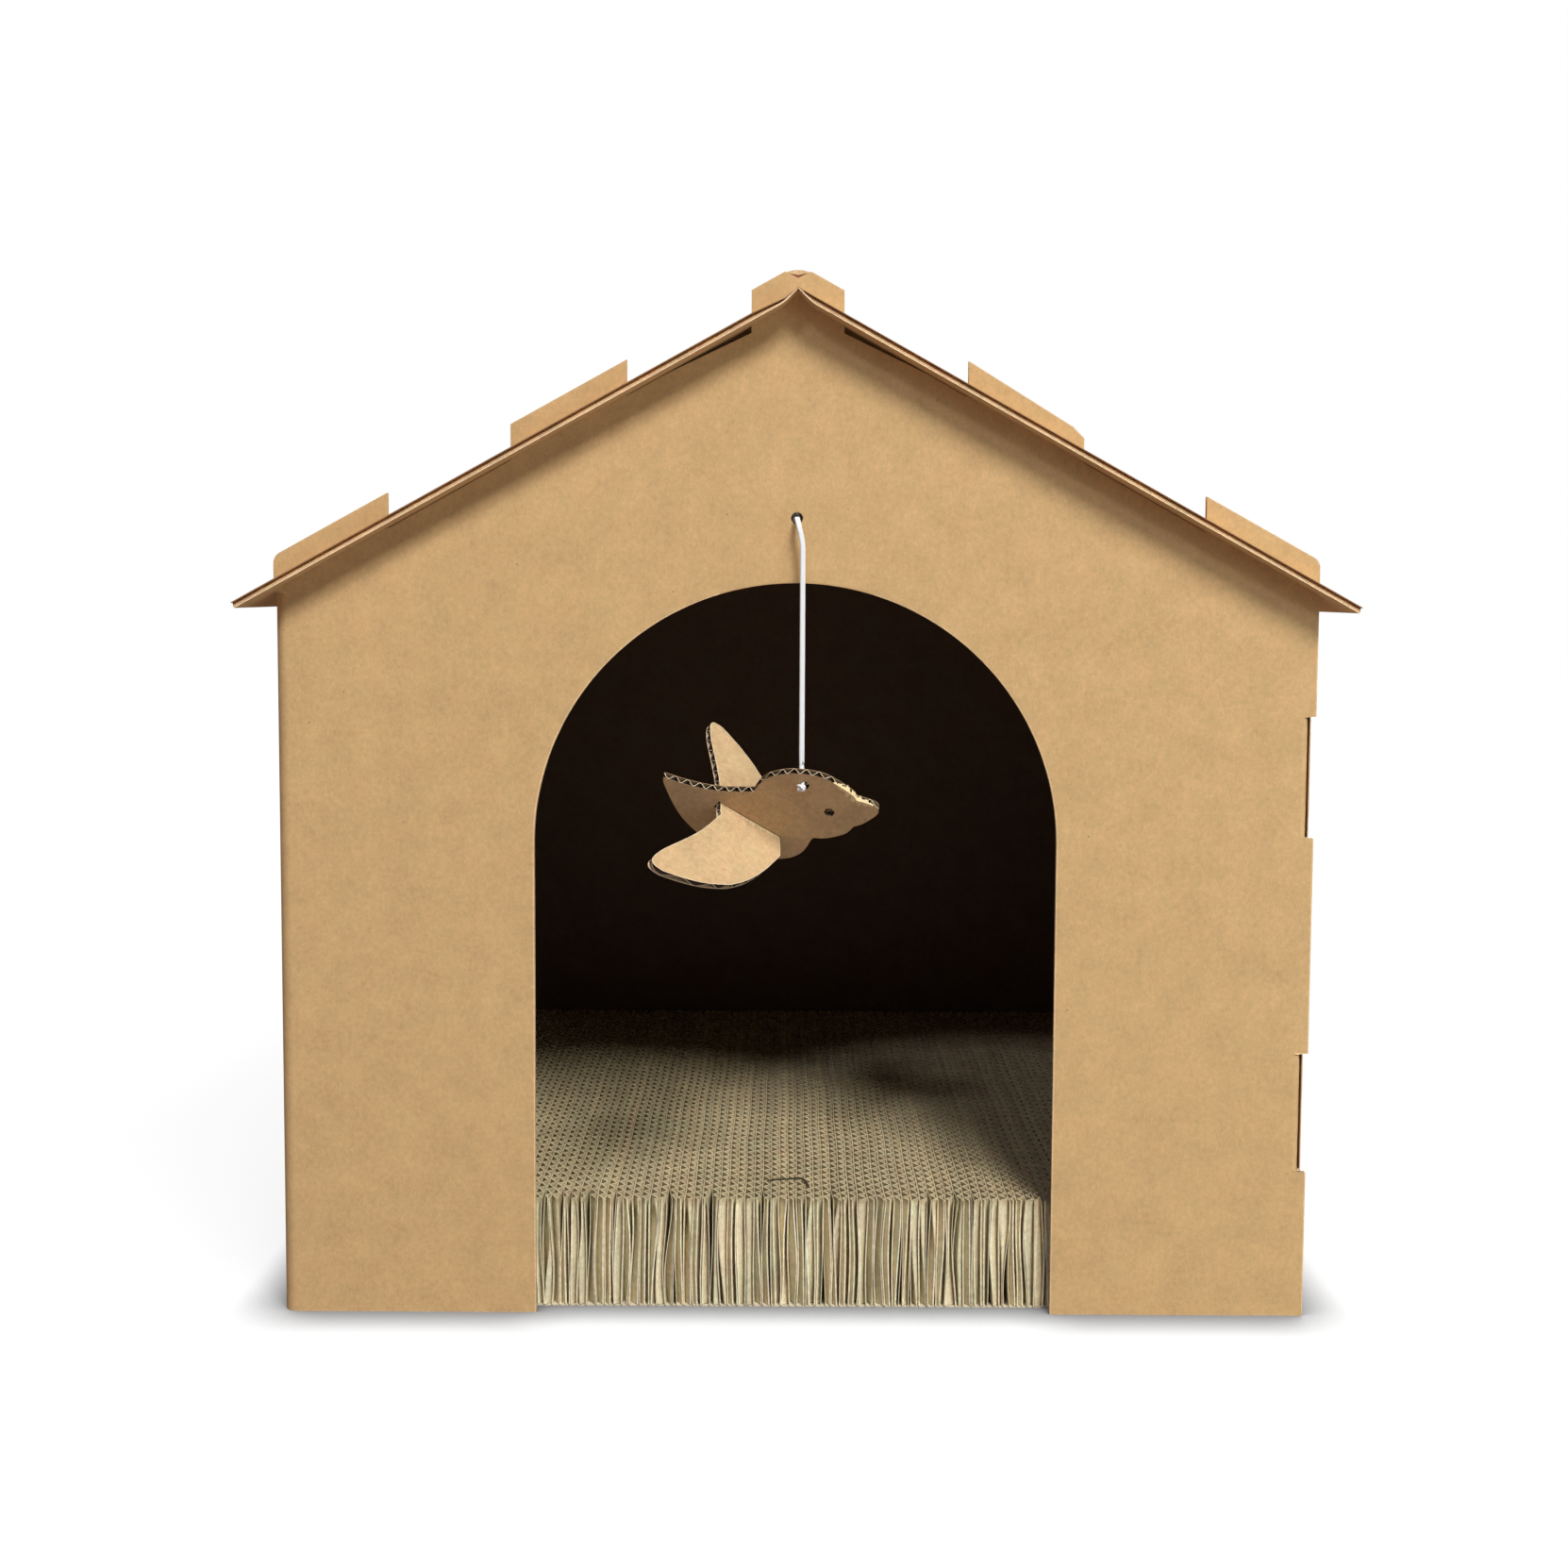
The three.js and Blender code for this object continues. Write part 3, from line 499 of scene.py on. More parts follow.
def linerPiece(name, bm, body, face, node, toWorld=None, thickness=boardLook["liner"], rim=boardLook["rim"],
               pale=lambda centre: True, edge=cutEdge):
    # The sheet's outer side stays where it is and its thickness goes inwards. Its cut edge is pale where pale
    # says so, and the knife has pressed a narrow rim down along it.
    ring = bmesh.ops.inset_region(bm, faces=bm.faces[:], thickness=rim, use_boundary=True,
                                  use_even_offset=False)
    for band in ring["faces"]:
        band.material_index = 1 if pale(band.calc_center_median()) else 2
    bm.normal_update()
    for vert in bm.verts:
        # Where two edges meet in a cusp the new line would leave the sheet, so its points are put back on it
        wide = [f for f in vert.link_faces if not f.material_index]
        ends = [e.other_vert(vert) for e in vert.link_edges]
        outer = [v for v in ends if all(f.material_index for f in v.link_faces)]
        if wide and outer:
            normal = max(wide, key=lambda f: f.calc_area()).normal
            vert.co -= normal * (vert.co - outer[0].co).dot(normal)
    # A wide face with a notch in its outline is cut into triangles, so that its inner side leaves it open
    bmesh.ops.triangulate(bm, faces=[f for f in bm.faces if len(f.verts) > 4])
    mesh = bpy.data.meshes.new(name)
    bm.to_mesh(mesh)
    bm.free()
    corners = gathered(mesh.loops, "vertex_index", np.int32)
    sizes = gathered(mesh.polygons, "loop_total", np.int32)
    marks = gathered(mesh.polygons, "material_index", np.int32)
    outline = np.ones(len(mesh.vertices), bool)
    outline[corners[np.repeat(marks, sizes) == 0]] = False
    points = gathered(mesh.vertices, "co", np.float32, 3)
    normals = gathered(mesh.vertex_normals, "vector", np.float32, 3)
    points = points - normals * outline[:, None] * rim * boardLook["press"]
    mesh.vertices.foreach_set("co", points.ravel())
    mesh.polygons.foreach_set("material_index", marks % 2)
    if toWorld is not None:
        mesh.transform(toWorld)
    mesh.update()
    thickened(addPiece(name, mesh, body, [face, edge], [node]), thickness, -1, 1)


def flutePiece(name, base, normals, run, reach, body, node, toWorld=None, pitch=boardLook["pitch"],
               thickness=boardLook["flute"], paper=fluteBrown):
    # A wave: each base point moved along its normal by reach times the sine of its run over the pitch. Where
    # the sheet's outline cuts it, the cut is pale.
    points = base + normals * (reach * np.sin(2 * np.pi * run / pitch))[..., None]
    mesh = meshFrom(name, points.reshape(-1, 3), gridFaces(*base.shape[:2]))
    if toWorld is not None:
        mesh.transform(toWorld)
    piece = addPiece(name, mesh, body, [paper, cutEdge], [node])
    thickened(piece, thickness, 0)
    cutter = bpy.data.objects.new("cutter", bpy.data.meshes.new("cutter"))
    scene.collection.objects.link(cutter)
    merged = mergedNode(node)
    merged.to_mesh(cutter.data)
    merged.free()
    cutter.data.materials.append(cutEdge)
    cut = piece.modifiers.new("cut", "BOOLEAN")
    cut.operation, cut.solver, cut.object, cut.material_mode = "INTERSECT", "EXACT", cutter, "TRANSFER"
    applied(piece)
    bpy.data.objects.remove(cutter)


# Walls: two sheets alike, each a gable, a side wall and an inner flap, with lock tabs folded through a corner
wall = {"halfWidth": 231 * mm, "halfDepth": 197.5 * mm, "thickness": 3 * mm, "fold": 6 * mm,
        "flapEnd": -171 * mm, "flapOuter": 194.2 * mm, "lockFold": 224.7 * mm,
        "lockOuter": 227.7 * mm, "lockLap": 0.5 * mm,
        "lockSpan": (60 * mm, 280 * mm), "eave": 325.5 * mm, "top": 470 * mm, "overrun": 5 * mm,
        "near": 0.25 * mm, "cuts": (12, 466, 18), "clear": 0.02 * mm, "tabStart": 1 * mm, "tabStop": 2 * mm}


def planLine(inset, lock=False):
    # The sheet's line seen from above, set inwards from its outer side, with an arc at each fold
    def arc(x, y, outer, start, stop):
        angle = np.radians(np.linspace(start, stop, 9))[:, None]
        return np.array([x, y]) + (outer - inset) * np.hstack([np.cos(angle), np.sin(angle)])

    right, left, front, board = wall["halfWidth"], -wall["halfWidth"], -wall["halfDepth"], wall["thickness"]
    fold, over, rear = wall["fold"], wall["overrun"], wall["flapOuter"]
    if lock:
        corner = arc(wall["lockOuter"] - board, front + board, board, -90, 0)
        start = (wall["lockFold"] - wall["lockLap"], front + inset)
        return np.vstack([start, corner, (wall["lockOuter"] - inset, 0)])
    frontFold = arc(left + fold, front + fold, fold, -90, -180)
    rearFold = arc(left + fold, rear - fold, fold, 180, 90)
    end = (wall["flapEnd"] + over, rear - inset)
    return np.vstack([(right + over, front + inset), frontFold, rearFold, end])


def densified(line, step):
    # Points at an equal step along a broken line, with the direction and the run length at each
    parts = np.linalg.norm(np.diff(line, axis=0), axis=1)
    total = np.concatenate([[0], np.cumsum(parts)])
    run = np.linspace(0, total[-1], int(total[-1] / step) + 1)
    at = np.stack([np.interp(run, total, line[:, i]) for i in range(line.shape[1])], 1)
    way = np.gradient(at, axis=0)
    way /= np.linalg.norm(way, axis=1, keepdims=True)
    return at, way, run


def distanceTo(line, points):
    # Least distance in plan from each point to a broken line
    a, b = line[:-1][None], line[1:][None]
    p = points[:, None, :2]
    share = np.clip(((p - a) * (b - a)).sum(2) / np.maximum(((b - a) ** 2).sum(2), 1e-18), 0, 1)
    return np.linalg.norm(p - (a + share[..., None] * (b - a)), axis=2).min(1)


def upright(plan, low, high):
    # Two rows of points, a plan line at two heights
    plan = np.broadcast_to(plan, (2, *np.shape(plan)))
    heights = np.broadcast_to(np.reshape([low, high], (2, 1, 1)), (*plan.shape[:2], 1))
    return np.concatenate([plan, heights], 2)


def makeWall(name, half):
    # half is the turn about Z that takes the front sheet to this sheet's place
    node = name + "_sheet"
    toLocal, toWorld = Matrix.Rotation(-half, 4, "Z"), Matrix.Rotation(half, 4, "Z")
    for side, inset, face in (("outer", 0, wallFace), ("inner", wall["thickness"], wallInsidePaintedShade)):
        lines = [planLine(inset), planLine(inset, lock=True)]
        level = -wall["halfDepth"] + inset

        def keep(centres, normals):
            # Above the eave the gable stays flat to its outer end, where the fold would be
            near = np.minimum(distanceTo(lines[0], centres), distanceTo(lines[1], centres)) < wall["near"]
            flat = (centres[:, 2] > wall["eave"]) & (np.abs(centres[:, 1] - level) < boardLook["onFace"])
            return (near | flat) & (np.abs(normals[:, 2]) < 0.1) & (~flat | (np.abs(normals[:, 1]) > 0.9))

        bm = sliced(sheetFaces(node, keep, toLocal), 2, np.arange(*wall["cuts"]) * mm)
        linerPiece(f"{name}_{side}_liner", bm, "house", face, node, toWorld=toWorld,
                   pale=lambda centre: centre.z < wall["eave"], edge=wallEdge)
    middle = wall["thickness"] / 2
    reach = middle - boardLook["liner"] - boardLook["flute"] / 2 - wall["clear"]
    for part, lock, span in (("flutes", False, (-wall["overrun"], wall["top"])),
                             ("lock_flutes", True, wall["lockSpan"])):
        at, way, run = densified(planLine(middle, lock), boardLook["pitch"] / boardLook["perFlute"])
        normals = np.stack([-way[:, 1], way[:, 0], np.zeros(len(at))], 1)
        flutePiece(f"{name}_{part}", upright(at, *span), normals, run, reach, "house", node, toWorld)
    # Above the eave, where the fold would be, the flutes run straight on
    left = -wall["halfWidth"]
    at = np.linspace(left - wall["tabStart"], left + wall["fold"] - wall["tabStop"], 10)
    plan = np.stack([at, np.full(len(at), -wall["halfDepth"] + middle)], 1)
    flutePiece(f"{name}_tab_flutes", upright(plan, wall["eave"], wall["top"]), np.array([0.0, 1, 0]), at,
               reach, "house", node, toWorld)
    print("stage:", name, "sheet")


makeWall("front", 0)
makeWall("back", math.pi)


# Torn paper behind the nick in a ridge tab, brown below as painted shade in the nick
nick = {"halfWidth": 5.8 * mm, "depth": 2.8 * mm, "top": 466.19 * mm, "round": 14.5 * mm,
        "roundCentre": 452.82 * mm, "under": 0.15 * mm, "back": 2.25 * mm, "cap": 1.1 * mm, "paper": 0.1 * mm}


def makeNick(name, half):
    # The lower edge is a V, the upper edge the tab's round top, and a shallower V parts the brown paper
    # below, which is painted shade, from the pale paper above
    x = np.linspace(-1, 1, 25) * nick["halfWidth"]
    high = nick["roundCentre"] + np.sqrt(nick["round"] ** 2 - x ** 2) - nick["under"]
    low = nick["top"] - nick["depth"] * (1 - np.abs(x) / nick["halfWidth"]) - nick["under"]
    band = nick["top"] - nick["cap"] * (1 - np.abs(x) / nick["halfWidth"])
    level = np.full(len(x), nick["back"] - wall["halfDepth"])
    grid = np.stack([np.stack([x, level, z], 1) for z in (low, band, high)], 1).reshape(-1, 3)
    mesh = meshFrom(name, grid, gridFaces(len(x), 3)[:, ::-1])
    mesh.transform(Matrix.Rotation(half, 4, "Z"))
    piece = addPiece(name, mesh, "house", [nickShadePaper, wallEdge])
    mesh.polygons.foreach_set("material_index", np.tile([0, 1], len(x) - 1).astype(np.int32))
    thickened(piece, nick["paper"], -1)


makeNick("front_ridge_tear", 0)
makeNick("back_ridge_tear", math.pi)


# Roof: one sheet creased at the ridge, flutes from eave to ridge
roof = {"pitchAngle": boardLook["roofPitch"], "ridge": 457.4 * mm, "tip": 246 * mm, "halfDepth": 211.5 * mm,
        "thickness": 3 * mm, "crush": 0.6 * mm, "curlReach": 7.5 * mm, "curl": 1.6, "scoreAt": 5.5 * mm,
        "scoreReach": 20 * mm, "scoreDepth": 1.3 * mm, "setBack": 0.15 * mm,
        "web": 0.5 * mm, "overrun": 5 * mm,
        "cuts": (-200 * mm, 200 * mm, 41), "farStation": 120 * mm,
        "stations": (-60, -30, -20, -14, -9, -7.5, -6.25, -5.5, -5, -3.75, -2.5, -1.25, 0, 1.25, 2.5, 3.75, 5,
                     6.25, 7.5, 12, 20, 30, 60)}


def makeRoof():
    slope = math.tan(roof["pitchAngle"])
    through = roof["thickness"] / math.cos(roof["pitchAngle"])

    def upperSide(x):
        # The slope, less the score's dip on the left, which is deepest near the ridge
        dip = np.interp(-x, [0, roof["scoreAt"], roof["scoreReach"]], [0, roof["scoreDepth"], 0])
        return roof["ridge"] - slope * np.abs(x) - dip

    def lowerSide(x):
        # The slope, with the liner curling up to the crushed board at the ridge
        share = np.clip(1 - np.abs(x) / roof["curlReach"], 0, 1)
        return roof["ridge"] - through - slope * np.abs(x) + (through - roof["crush"]) * share ** roof["curl"]

    # The upper liner's cut edge takes the flutes' brown as painted shade; the lower liner's is the pale cut
    # edge
    for side, sign, edge in (("upper", 1, fluteBrown), ("lower", -1, cutEdge)):
        keep = lambda centres, normals: (sign * normals[:, 2] > 0.5) & (np.abs(normals[:, 0]) < 0.8)
        bm = sliced(sheetFaces("roof_sheet", keep), 1, np.linspace(*roof["cuts"]))
        linerPiece(f"roof_{side}_liner", bm, "roof", roofFace, "roof_sheet", edge=edge)
    pitch, half = boardLook["pitch"], roof["halfDepth"]
    across = np.linspace(-half + roof["setBack"], half - roof["setBack"],
                         int(2 * half / pitch * boardLook["perFlute"]))
    end, far = roof["tip"] + roof["overrun"], roof["farStation"]
    x = np.concatenate([[-end, -far], np.array(roof["stations"]) * mm, [far, end]])
    high, low = upperSide(x), lowerSide(x)
    reach = np.maximum((high - low) / 2 * math.cos(roof["pitchAngle"]) - boardLook["liner"]
                       - roof["web"] / 2, 0)
    base = np.stack(np.broadcast_arrays(x[:, None], across[None], ((high + low) / 2)[:, None]), 2)
    tilt = np.array([math.sin(roof["pitchAngle"]), 0, math.cos(roof["pitchAngle"])])
    normals = np.where((x < 0)[:, None, None], tilt * [-1, 1, 1], tilt)
    flutePiece("roof_flutes", base, normals, across - across[0] - pitch / 4, reach[:, None], "roof",
               "roof_sheet", thickness=roof["web"], paper=roofFlutePaintedLight)
    print("stage: roof")


makeRoof()


# Bird: body flutes stand upright, wing flutes run along its chord
birdBoard = {"pitch": 5.4 * mm, "liner": 0.26 * mm, "flute": 0.22 * mm, "rim": 0.2 * mm, "span": 75 * mm}


def flatBoard(node, frameMatrix, low, thin, wave, along, edge):
    # thin is the axis through the board, whose near face is at low. The flutes repeat along the axis wave and
    # run along the axis along.
    high = low + birdPlace["thickness"]
    for side, level, sign in (("near", low, -1), ("far", high, 1)):
        keep = lambda centres, normals: ((np.abs(centres[:, thin] - level) < boardLook["onFace"])
                                         & (sign * normals[:, thin] > 0.5))
        bm = sheetFaces(node, keep, frameMatrix.inverted())
        linerPiece(f"{node}_{side}_liner", bm, "bird", toyFace, node, frameMatrix, birdBoard["liner"],
                   birdBoard["rim"], edge=edge)
    span, pitch = birdBoard["span"], birdBoard["pitch"]
    run = np.linspace(-span, span, int(2 * span / pitch * boardLook["perFlute"]))
    base = np.zeros((2, len(run), 3))
    base[..., wave] = run
    base[..., thin] = (low + high) / 2
    base[..., along] = np.array([-span, span])[:, None]
    reach = (high - low) / 2 - birdBoard["liner"] - birdBoard["flute"] / 2
    flutePiece(f"{node}_flutes", base, np.eye(3)[thin], run, reach, "bird", node, frameMatrix, pitch,
               birdBoard["flute"], toyFlutePaintedShade)


# The body's edges have the darker painted-shade tone; the wings keep the pale cut edge
flatBoard("bird_body", birdFrame, 0, 1, 0, 2, toyEdgePaintedShade)
flatBoard("bird_wings", wingFrame, -birdPlace["thickness"] / 2, 2, 1, 0, cutEdge)


# Where the top paper has peeled. waves are (share of the width, rate, phase).
birdTears = {"height": 0.05 * mm, "head": (13 * mm, 30 * mm), "headWidth": 1.8 * mm, "headFrom": -15 * mm,
             "headDrop": 0.1 * mm, "topWidth": 2.6 * mm, "topLift": 0.12 * mm,
             "root": (-16.5 * mm, 13.5 * mm), "rootWidth": 1.1 * mm, "rootClear": 0.35 * mm, "steps": 60,
             "waves": ((0.35, 41, 0), (0.3, 97, 1)), "scatter": 0.2, "least": 0.15}


def tornStrip(name, line, inward, width, frameMatrix):
    # A thin strip along a line, tapered to its ends, whose inner side is ragged with two waves and a scatter
    t = np.linspace(0, 1, len(line))[:, None]
    rough = np.ones_like(t)
    for share, rate, phase in birdTears["waves"]:
        rough = rough + share * np.sin(t * rate + phase)
    rough = rough + birdTears["scatter"] * draws.normal(0, 1, t.shape)
    reach = width * np.sin(np.pi * t) ** 0.6 * np.maximum(rough, birdTears["least"])
    grid = np.stack([line, line + inward * reach], 1).reshape(-1, 3)
    mesh = meshFrom(name, placed(grid, frameMatrix), gridFaces(len(line), 2))
    thickened(addPiece(name, mesh, "bird", [tornPaper]), birdTears["height"], 1)


def makeTears():
    # Along the head's top edge, read from the body's own near face, and across the near wing's root
    def nearFace(centres, normals):
        return (np.abs(centres[:, 1]) < boardLook["onFace"]) & (normals[:, 1] < -0.5)

    bm = sheetFaces("bird_body", nearFace, birdFrame.inverted())
    rim = np.array([v.co[:] for v in bm.verts if v.is_boundary])
    bm.free()
    rim = rim[np.argsort(rim[:, 0])]
    top = rim[rim[:, 2] > birdTears["headFrom"]]
    steps = birdTears["steps"]
    x = np.linspace(*birdTears["head"], steps)
    high = np.interp(x, top[:, 0], top[:, 2])
    head = np.stack([x, np.full(steps, -birdTears["height"]), high - birdTears["headDrop"]], 1)
    tornStrip("bird_torn_head", head, np.array([-0.3, 0, -1]), birdTears["headWidth"], birdFrame)
    over = np.stack([x, np.zeros(steps), high + birdTears["topLift"]], 1)
    tornStrip("bird_torn_top", over, np.array([0, 1, 0]), birdTears["topWidth"], birdFrame)
    x = np.linspace(*birdTears["root"], steps)
    root = np.stack([x, np.full(steps, -birdTears["rootClear"]),
                     np.full(steps, birdPlace["thickness"] / 2)], 1)
    tornStrip("bird_torn_root", root, np.array([0, -1, 0]), birdTears["rootWidth"], wingFrame)


makeTears()
print("stage: bird")


# Scratching pad: strips of board on edge. Each strip is a fluted web between two paper leaves, and the leaves
# of neighbours are glued back to back, apart from where they have come unstuck at the ends. leafPlaces, back
# from the front, and the fibre's points are in millimetres.
pad = {"layers": 111, "leftStrips": 56, "layer": 4 * mm, "leaf": 0.26 * mm, "joint": 0.54 * mm,
       "halfWidth": 222.35 * mm, "halfDepth": 190.5 * mm, "low": 0.9 * mm, "high": 50.3 * mm,
       "pitch": 7.95 * mm, "web": 0.36 * mm, "burr": 1.3,
       "burrDepth": 2 * mm, "burrSharp": 8, "leafDrop": 0.5 * mm,
       "cutTop": 0.1 * mm, "cutFront": 0.6 * mm, "skew": 0.5, "drift": 1.3, "driftSpread": 0.6, "lean": 0.045,
       "endDepth": 16 * mm, "shownDepth": 15 * mm, "splitShare": 0.4, "split": 1.4 * mm, "fromTopShare": 0.6,
       "bow": 0.45 * mm, "ragged": 0.35 * mm, "raggedSharp": 6, "webShare": 0.9, "sway": 0.35 * mm,
       "ripple": 0.25 * mm, "toneSpread": 0.06, "hueSpread": 0.014, "paintedEndLift": (0.44, 0.57, 0.82),
       "liftDepth": 4 * mm, "fineRows": 26, "coarseRows": 6, "frontColumns": 15, "perFlute": 8,
       "leafColumns": 24, "leafPlaces": (0.1, 2, 5, 9, 13, 16), "fibreRadius": 0.42 * mm,
       "fibre": ((-12.2, -164.9), (-8.2, -162.8), (-2.5, -162.0), (3.3, -160.5), (5.5, -164.7),
                 (7.2, -171.6))}


def padDraws():
    # What differs from strip to strip and from joint to joint
    strips, joints = pad["layers"], pad["layers"] + 1
    pad["phase"] = np.cumsum(draws.normal(pad["drift"], pad["driftSpread"], strips))
    pad["tilt"] = draws.normal(0, pad["lean"], strips)
    opens = draws.uniform(0, 1, joints) < pad["splitShare"]
    pad["gap"] = opens * draws.uniform(0.35, 1, joints) * pad["split"]
    pad["fromTop"] = draws.uniform(0, 1, joints) < pad["fromTopShare"]
    pad["start"] = draws.uniform(0.05, 0.6, joints)
    pad["bend"] = draws.normal(0, pad["bow"], joints)
    pad["bendPhase"] = draws.uniform(0, 2 * np.pi, joints)
    level = draws.normal(1, pad["toneSpread"], (joints, 1))
    hue = draws.normal(0, pad["hueSpread"], (joints, 1))
    pad["tone"] = level * (1 + hue * np.array([[1, -0.3, -1]]))


def nearEnd(y):
    # 1 at the cut ends, falling to 0 where the end zone stops
    return np.clip((np.abs(y) - pad["halfDepth"]) / pad["endDepth"] + 1, 0, 1)


def leafShift(joint, side, y, z):
    # Sideways move of a joint's leaf: a bow in height, and a V that opens towards the top or the floor
    up = z / pad["high"]
    start = pad["start"][joint]
    opening = np.where(pad["fromTop"][joint], (up - start) / (1 - start), (1 - start - up) / (1 - start))
    bow = pad["bend"][joint] * np.sin(np.pi * 1.5 * up + pad["bendPhase"][joint])
    return nearEnd(y) * (bow + side * pad["gap"][joint] * np.clip(opening, 0, 1))


def padSway(points):
    # The strips aren't quite straight: two slow sideways waves run over the block
    x, y, z = points[..., 0], points[..., 1], points[..., 2]
    sway = pad["sway"] * np.sin(x * 37 + y * 21 + 1.1) + pad["ripple"] * np.sin(y * 63 - x * 55 + z * 70)
    moved = points.copy()
    moved[..., 0] = np.clip(x + sway, -pad["halfWidth"], pad["halfWidth"])
    return moved


def paintedEndLight(y, z):
    # The end faces are painted paler and greyer than the top, as painted light, fading out just below the top
    # edge
    share = nearEnd(y) * np.clip((pad["high"] - z) / pad["liftDepth"], 0, 1)
    return 1 + share[:, None] * np.array(pad["paintedEndLift"])


def webGrid(layers, columns, rows):
    # Both sides of every web: x is the strip's middle plus a skewed sine of the run, whose phase leans with
    # height. Across the strip, the web takes a share of what its two leaves are moved by.
    strip = layers[:, None, None]
    y, z = columns[None, :, None], rows[None, None, :]
    turn = 2 * np.pi / pad["pitch"] * (y + pad["tilt"][strip] * z) + pad["phase"][strip]
    # The saw leaves a burr, so the web is thicker at its cut top and ends
    burr = np.maximum(np.clip(1 - (pad["high"] - z) / pad["burrDepth"], 0, 1), nearEnd(y) ** pad["burrSharp"])
    off = pad["web"] / 2 * (1 + pad["burr"] * burr)
    reach = (pad["layer"] - pad["joint"]) / 2 - off
    wave = turn + pad["skew"] * np.sin(turn)
    left = -pad["halfWidth"] + pad["joint"] + strip * pad["layer"]
    share = (1 + np.sin(wave) * pad["webShare"]) / 2
    x = left + (pad["layer"] - pad["joint"]) / 2 + reach * np.sin(wave)
    x = x + (1 - share) * leafShift(strip, 1, y, z) + share * leafShift(strip + 1, -1, y, z)
    slope = reach * np.cos(wave) * (1 + pad["skew"] * np.cos(turn)) * 2 * np.pi / pad["pitch"]
    length = np.sqrt(1 + slope ** 2)
    rough = pad["ragged"] * draws.uniform(0, 1, x.shape) * nearEnd(y) ** pad["raggedSharp"]
    inward = y - np.sign(y) * rough

    def sideOf(sign):
        across, along = x + sign * off / length, inward - sign * off * slope / length
        return np.stack(np.broadcast_arrays(across, along, z), -1)

    return np.stack([sideOf(-1), sideOf(1)], 1)


def leafGrid(joints, side, columns, rows):
    # One leaf of each joint, a flat sheet with both its faces
    joint = joints[:, None, None]
    y, z = columns[None, :, None], rows[None, None, :]
    scatter = draws.uniform(0, 1, (len(joints), len(columns), len(rows)))
    rough = pad["ragged"] * scatter * nearEnd(y) ** pad["raggedSharp"]
    left = -pad["halfWidth"] + joint * pad["layer"] + (pad["joint"] - pad["leaf"] if side > 0 else 0)
    x = left + leafShift(joint, side, y, z)
    return np.stack([np.stack(np.broadcast_arrays(x + far, y - np.sign(y) * rough, z), -1)
                     for far in (0, pad["leaf"])], 1)


def shellFaces(count, columns, rows):
    # Faces of count closed shells, each a pair of grids (side, column, row) joined round their rims
    n, p = np.arange(2 * columns * rows).reshape(2, columns, rows)
    quads = ((n[:-1, :-1], n[:-1, 1:], n[1:, 1:], n[1:, :-1]),
             (p[:-1, :-1], p[1:, :-1], p[1:, 1:], p[:-1, 1:]),
             (n[:-1, -1], p[:-1, -1], p[1:, -1], n[1:, -1]), (n[:-1, 0], n[1:, 0], p[1:, 0], p[:-1, 0]),
             (n[0, :-1], p[0, :-1], p[0, 1:], n[0, 1:]), (n[-1, :-1], n[-1, 1:], p[-1, 1:], p[-1, :-1]))
    faces = [np.stack([corner.ravel() for corner in quad], 1) for quad in quads]
    edge = np.concatenate([np.full(len(f), int(i > 1)) for i, f in enumerate(faces)])
    starts = np.arange(count) * 2 * columns * rows
    return (np.vstack(faces)[None] + starts[:, None, None]).reshape(-1, 4), np.tile(edge, count)


def padPiece(name, grids, tone, paper):
    # grids are (strip, side, column, row, xyz); each strip's tone, times the painted light on the end faces,
    # goes to all its points
    points, faces, edges, shades, start = [], [], [], [], 0
    for grid in grids:
        count, _, columns, rows, _ = grid.shape
        shellQuads, shellEdges = shellFaces(count, columns, rows)
        moved = padSway(grid).reshape(-1, 3)
        points.append(moved)
        faces.append(shellQuads + start)
        edges.append(shellEdges)
        lift = paintedEndLight(moved[:, 1], moved[:, 2])
        shades.append(np.hstack([np.repeat(tone, 2 * columns * rows, 0) * lift, np.ones((len(moved), 1))]))
        start += len(moved)
    mesh = meshFrom(name, np.vstack(points), np.vstack(faces))
    layer = mesh.color_attributes.new("strip", "FLOAT_COLOR", "POINT")
    layer.data.foreach_set("color", np.vstack(shades).astype(np.float32).ravel())
    addPiece(name, mesh, "pad", [paper, padEdge], ["scratch_pad"])
    mesh.polygons.foreach_set("material_index", np.concatenate(edges).astype(np.int32))
    mesh.update()


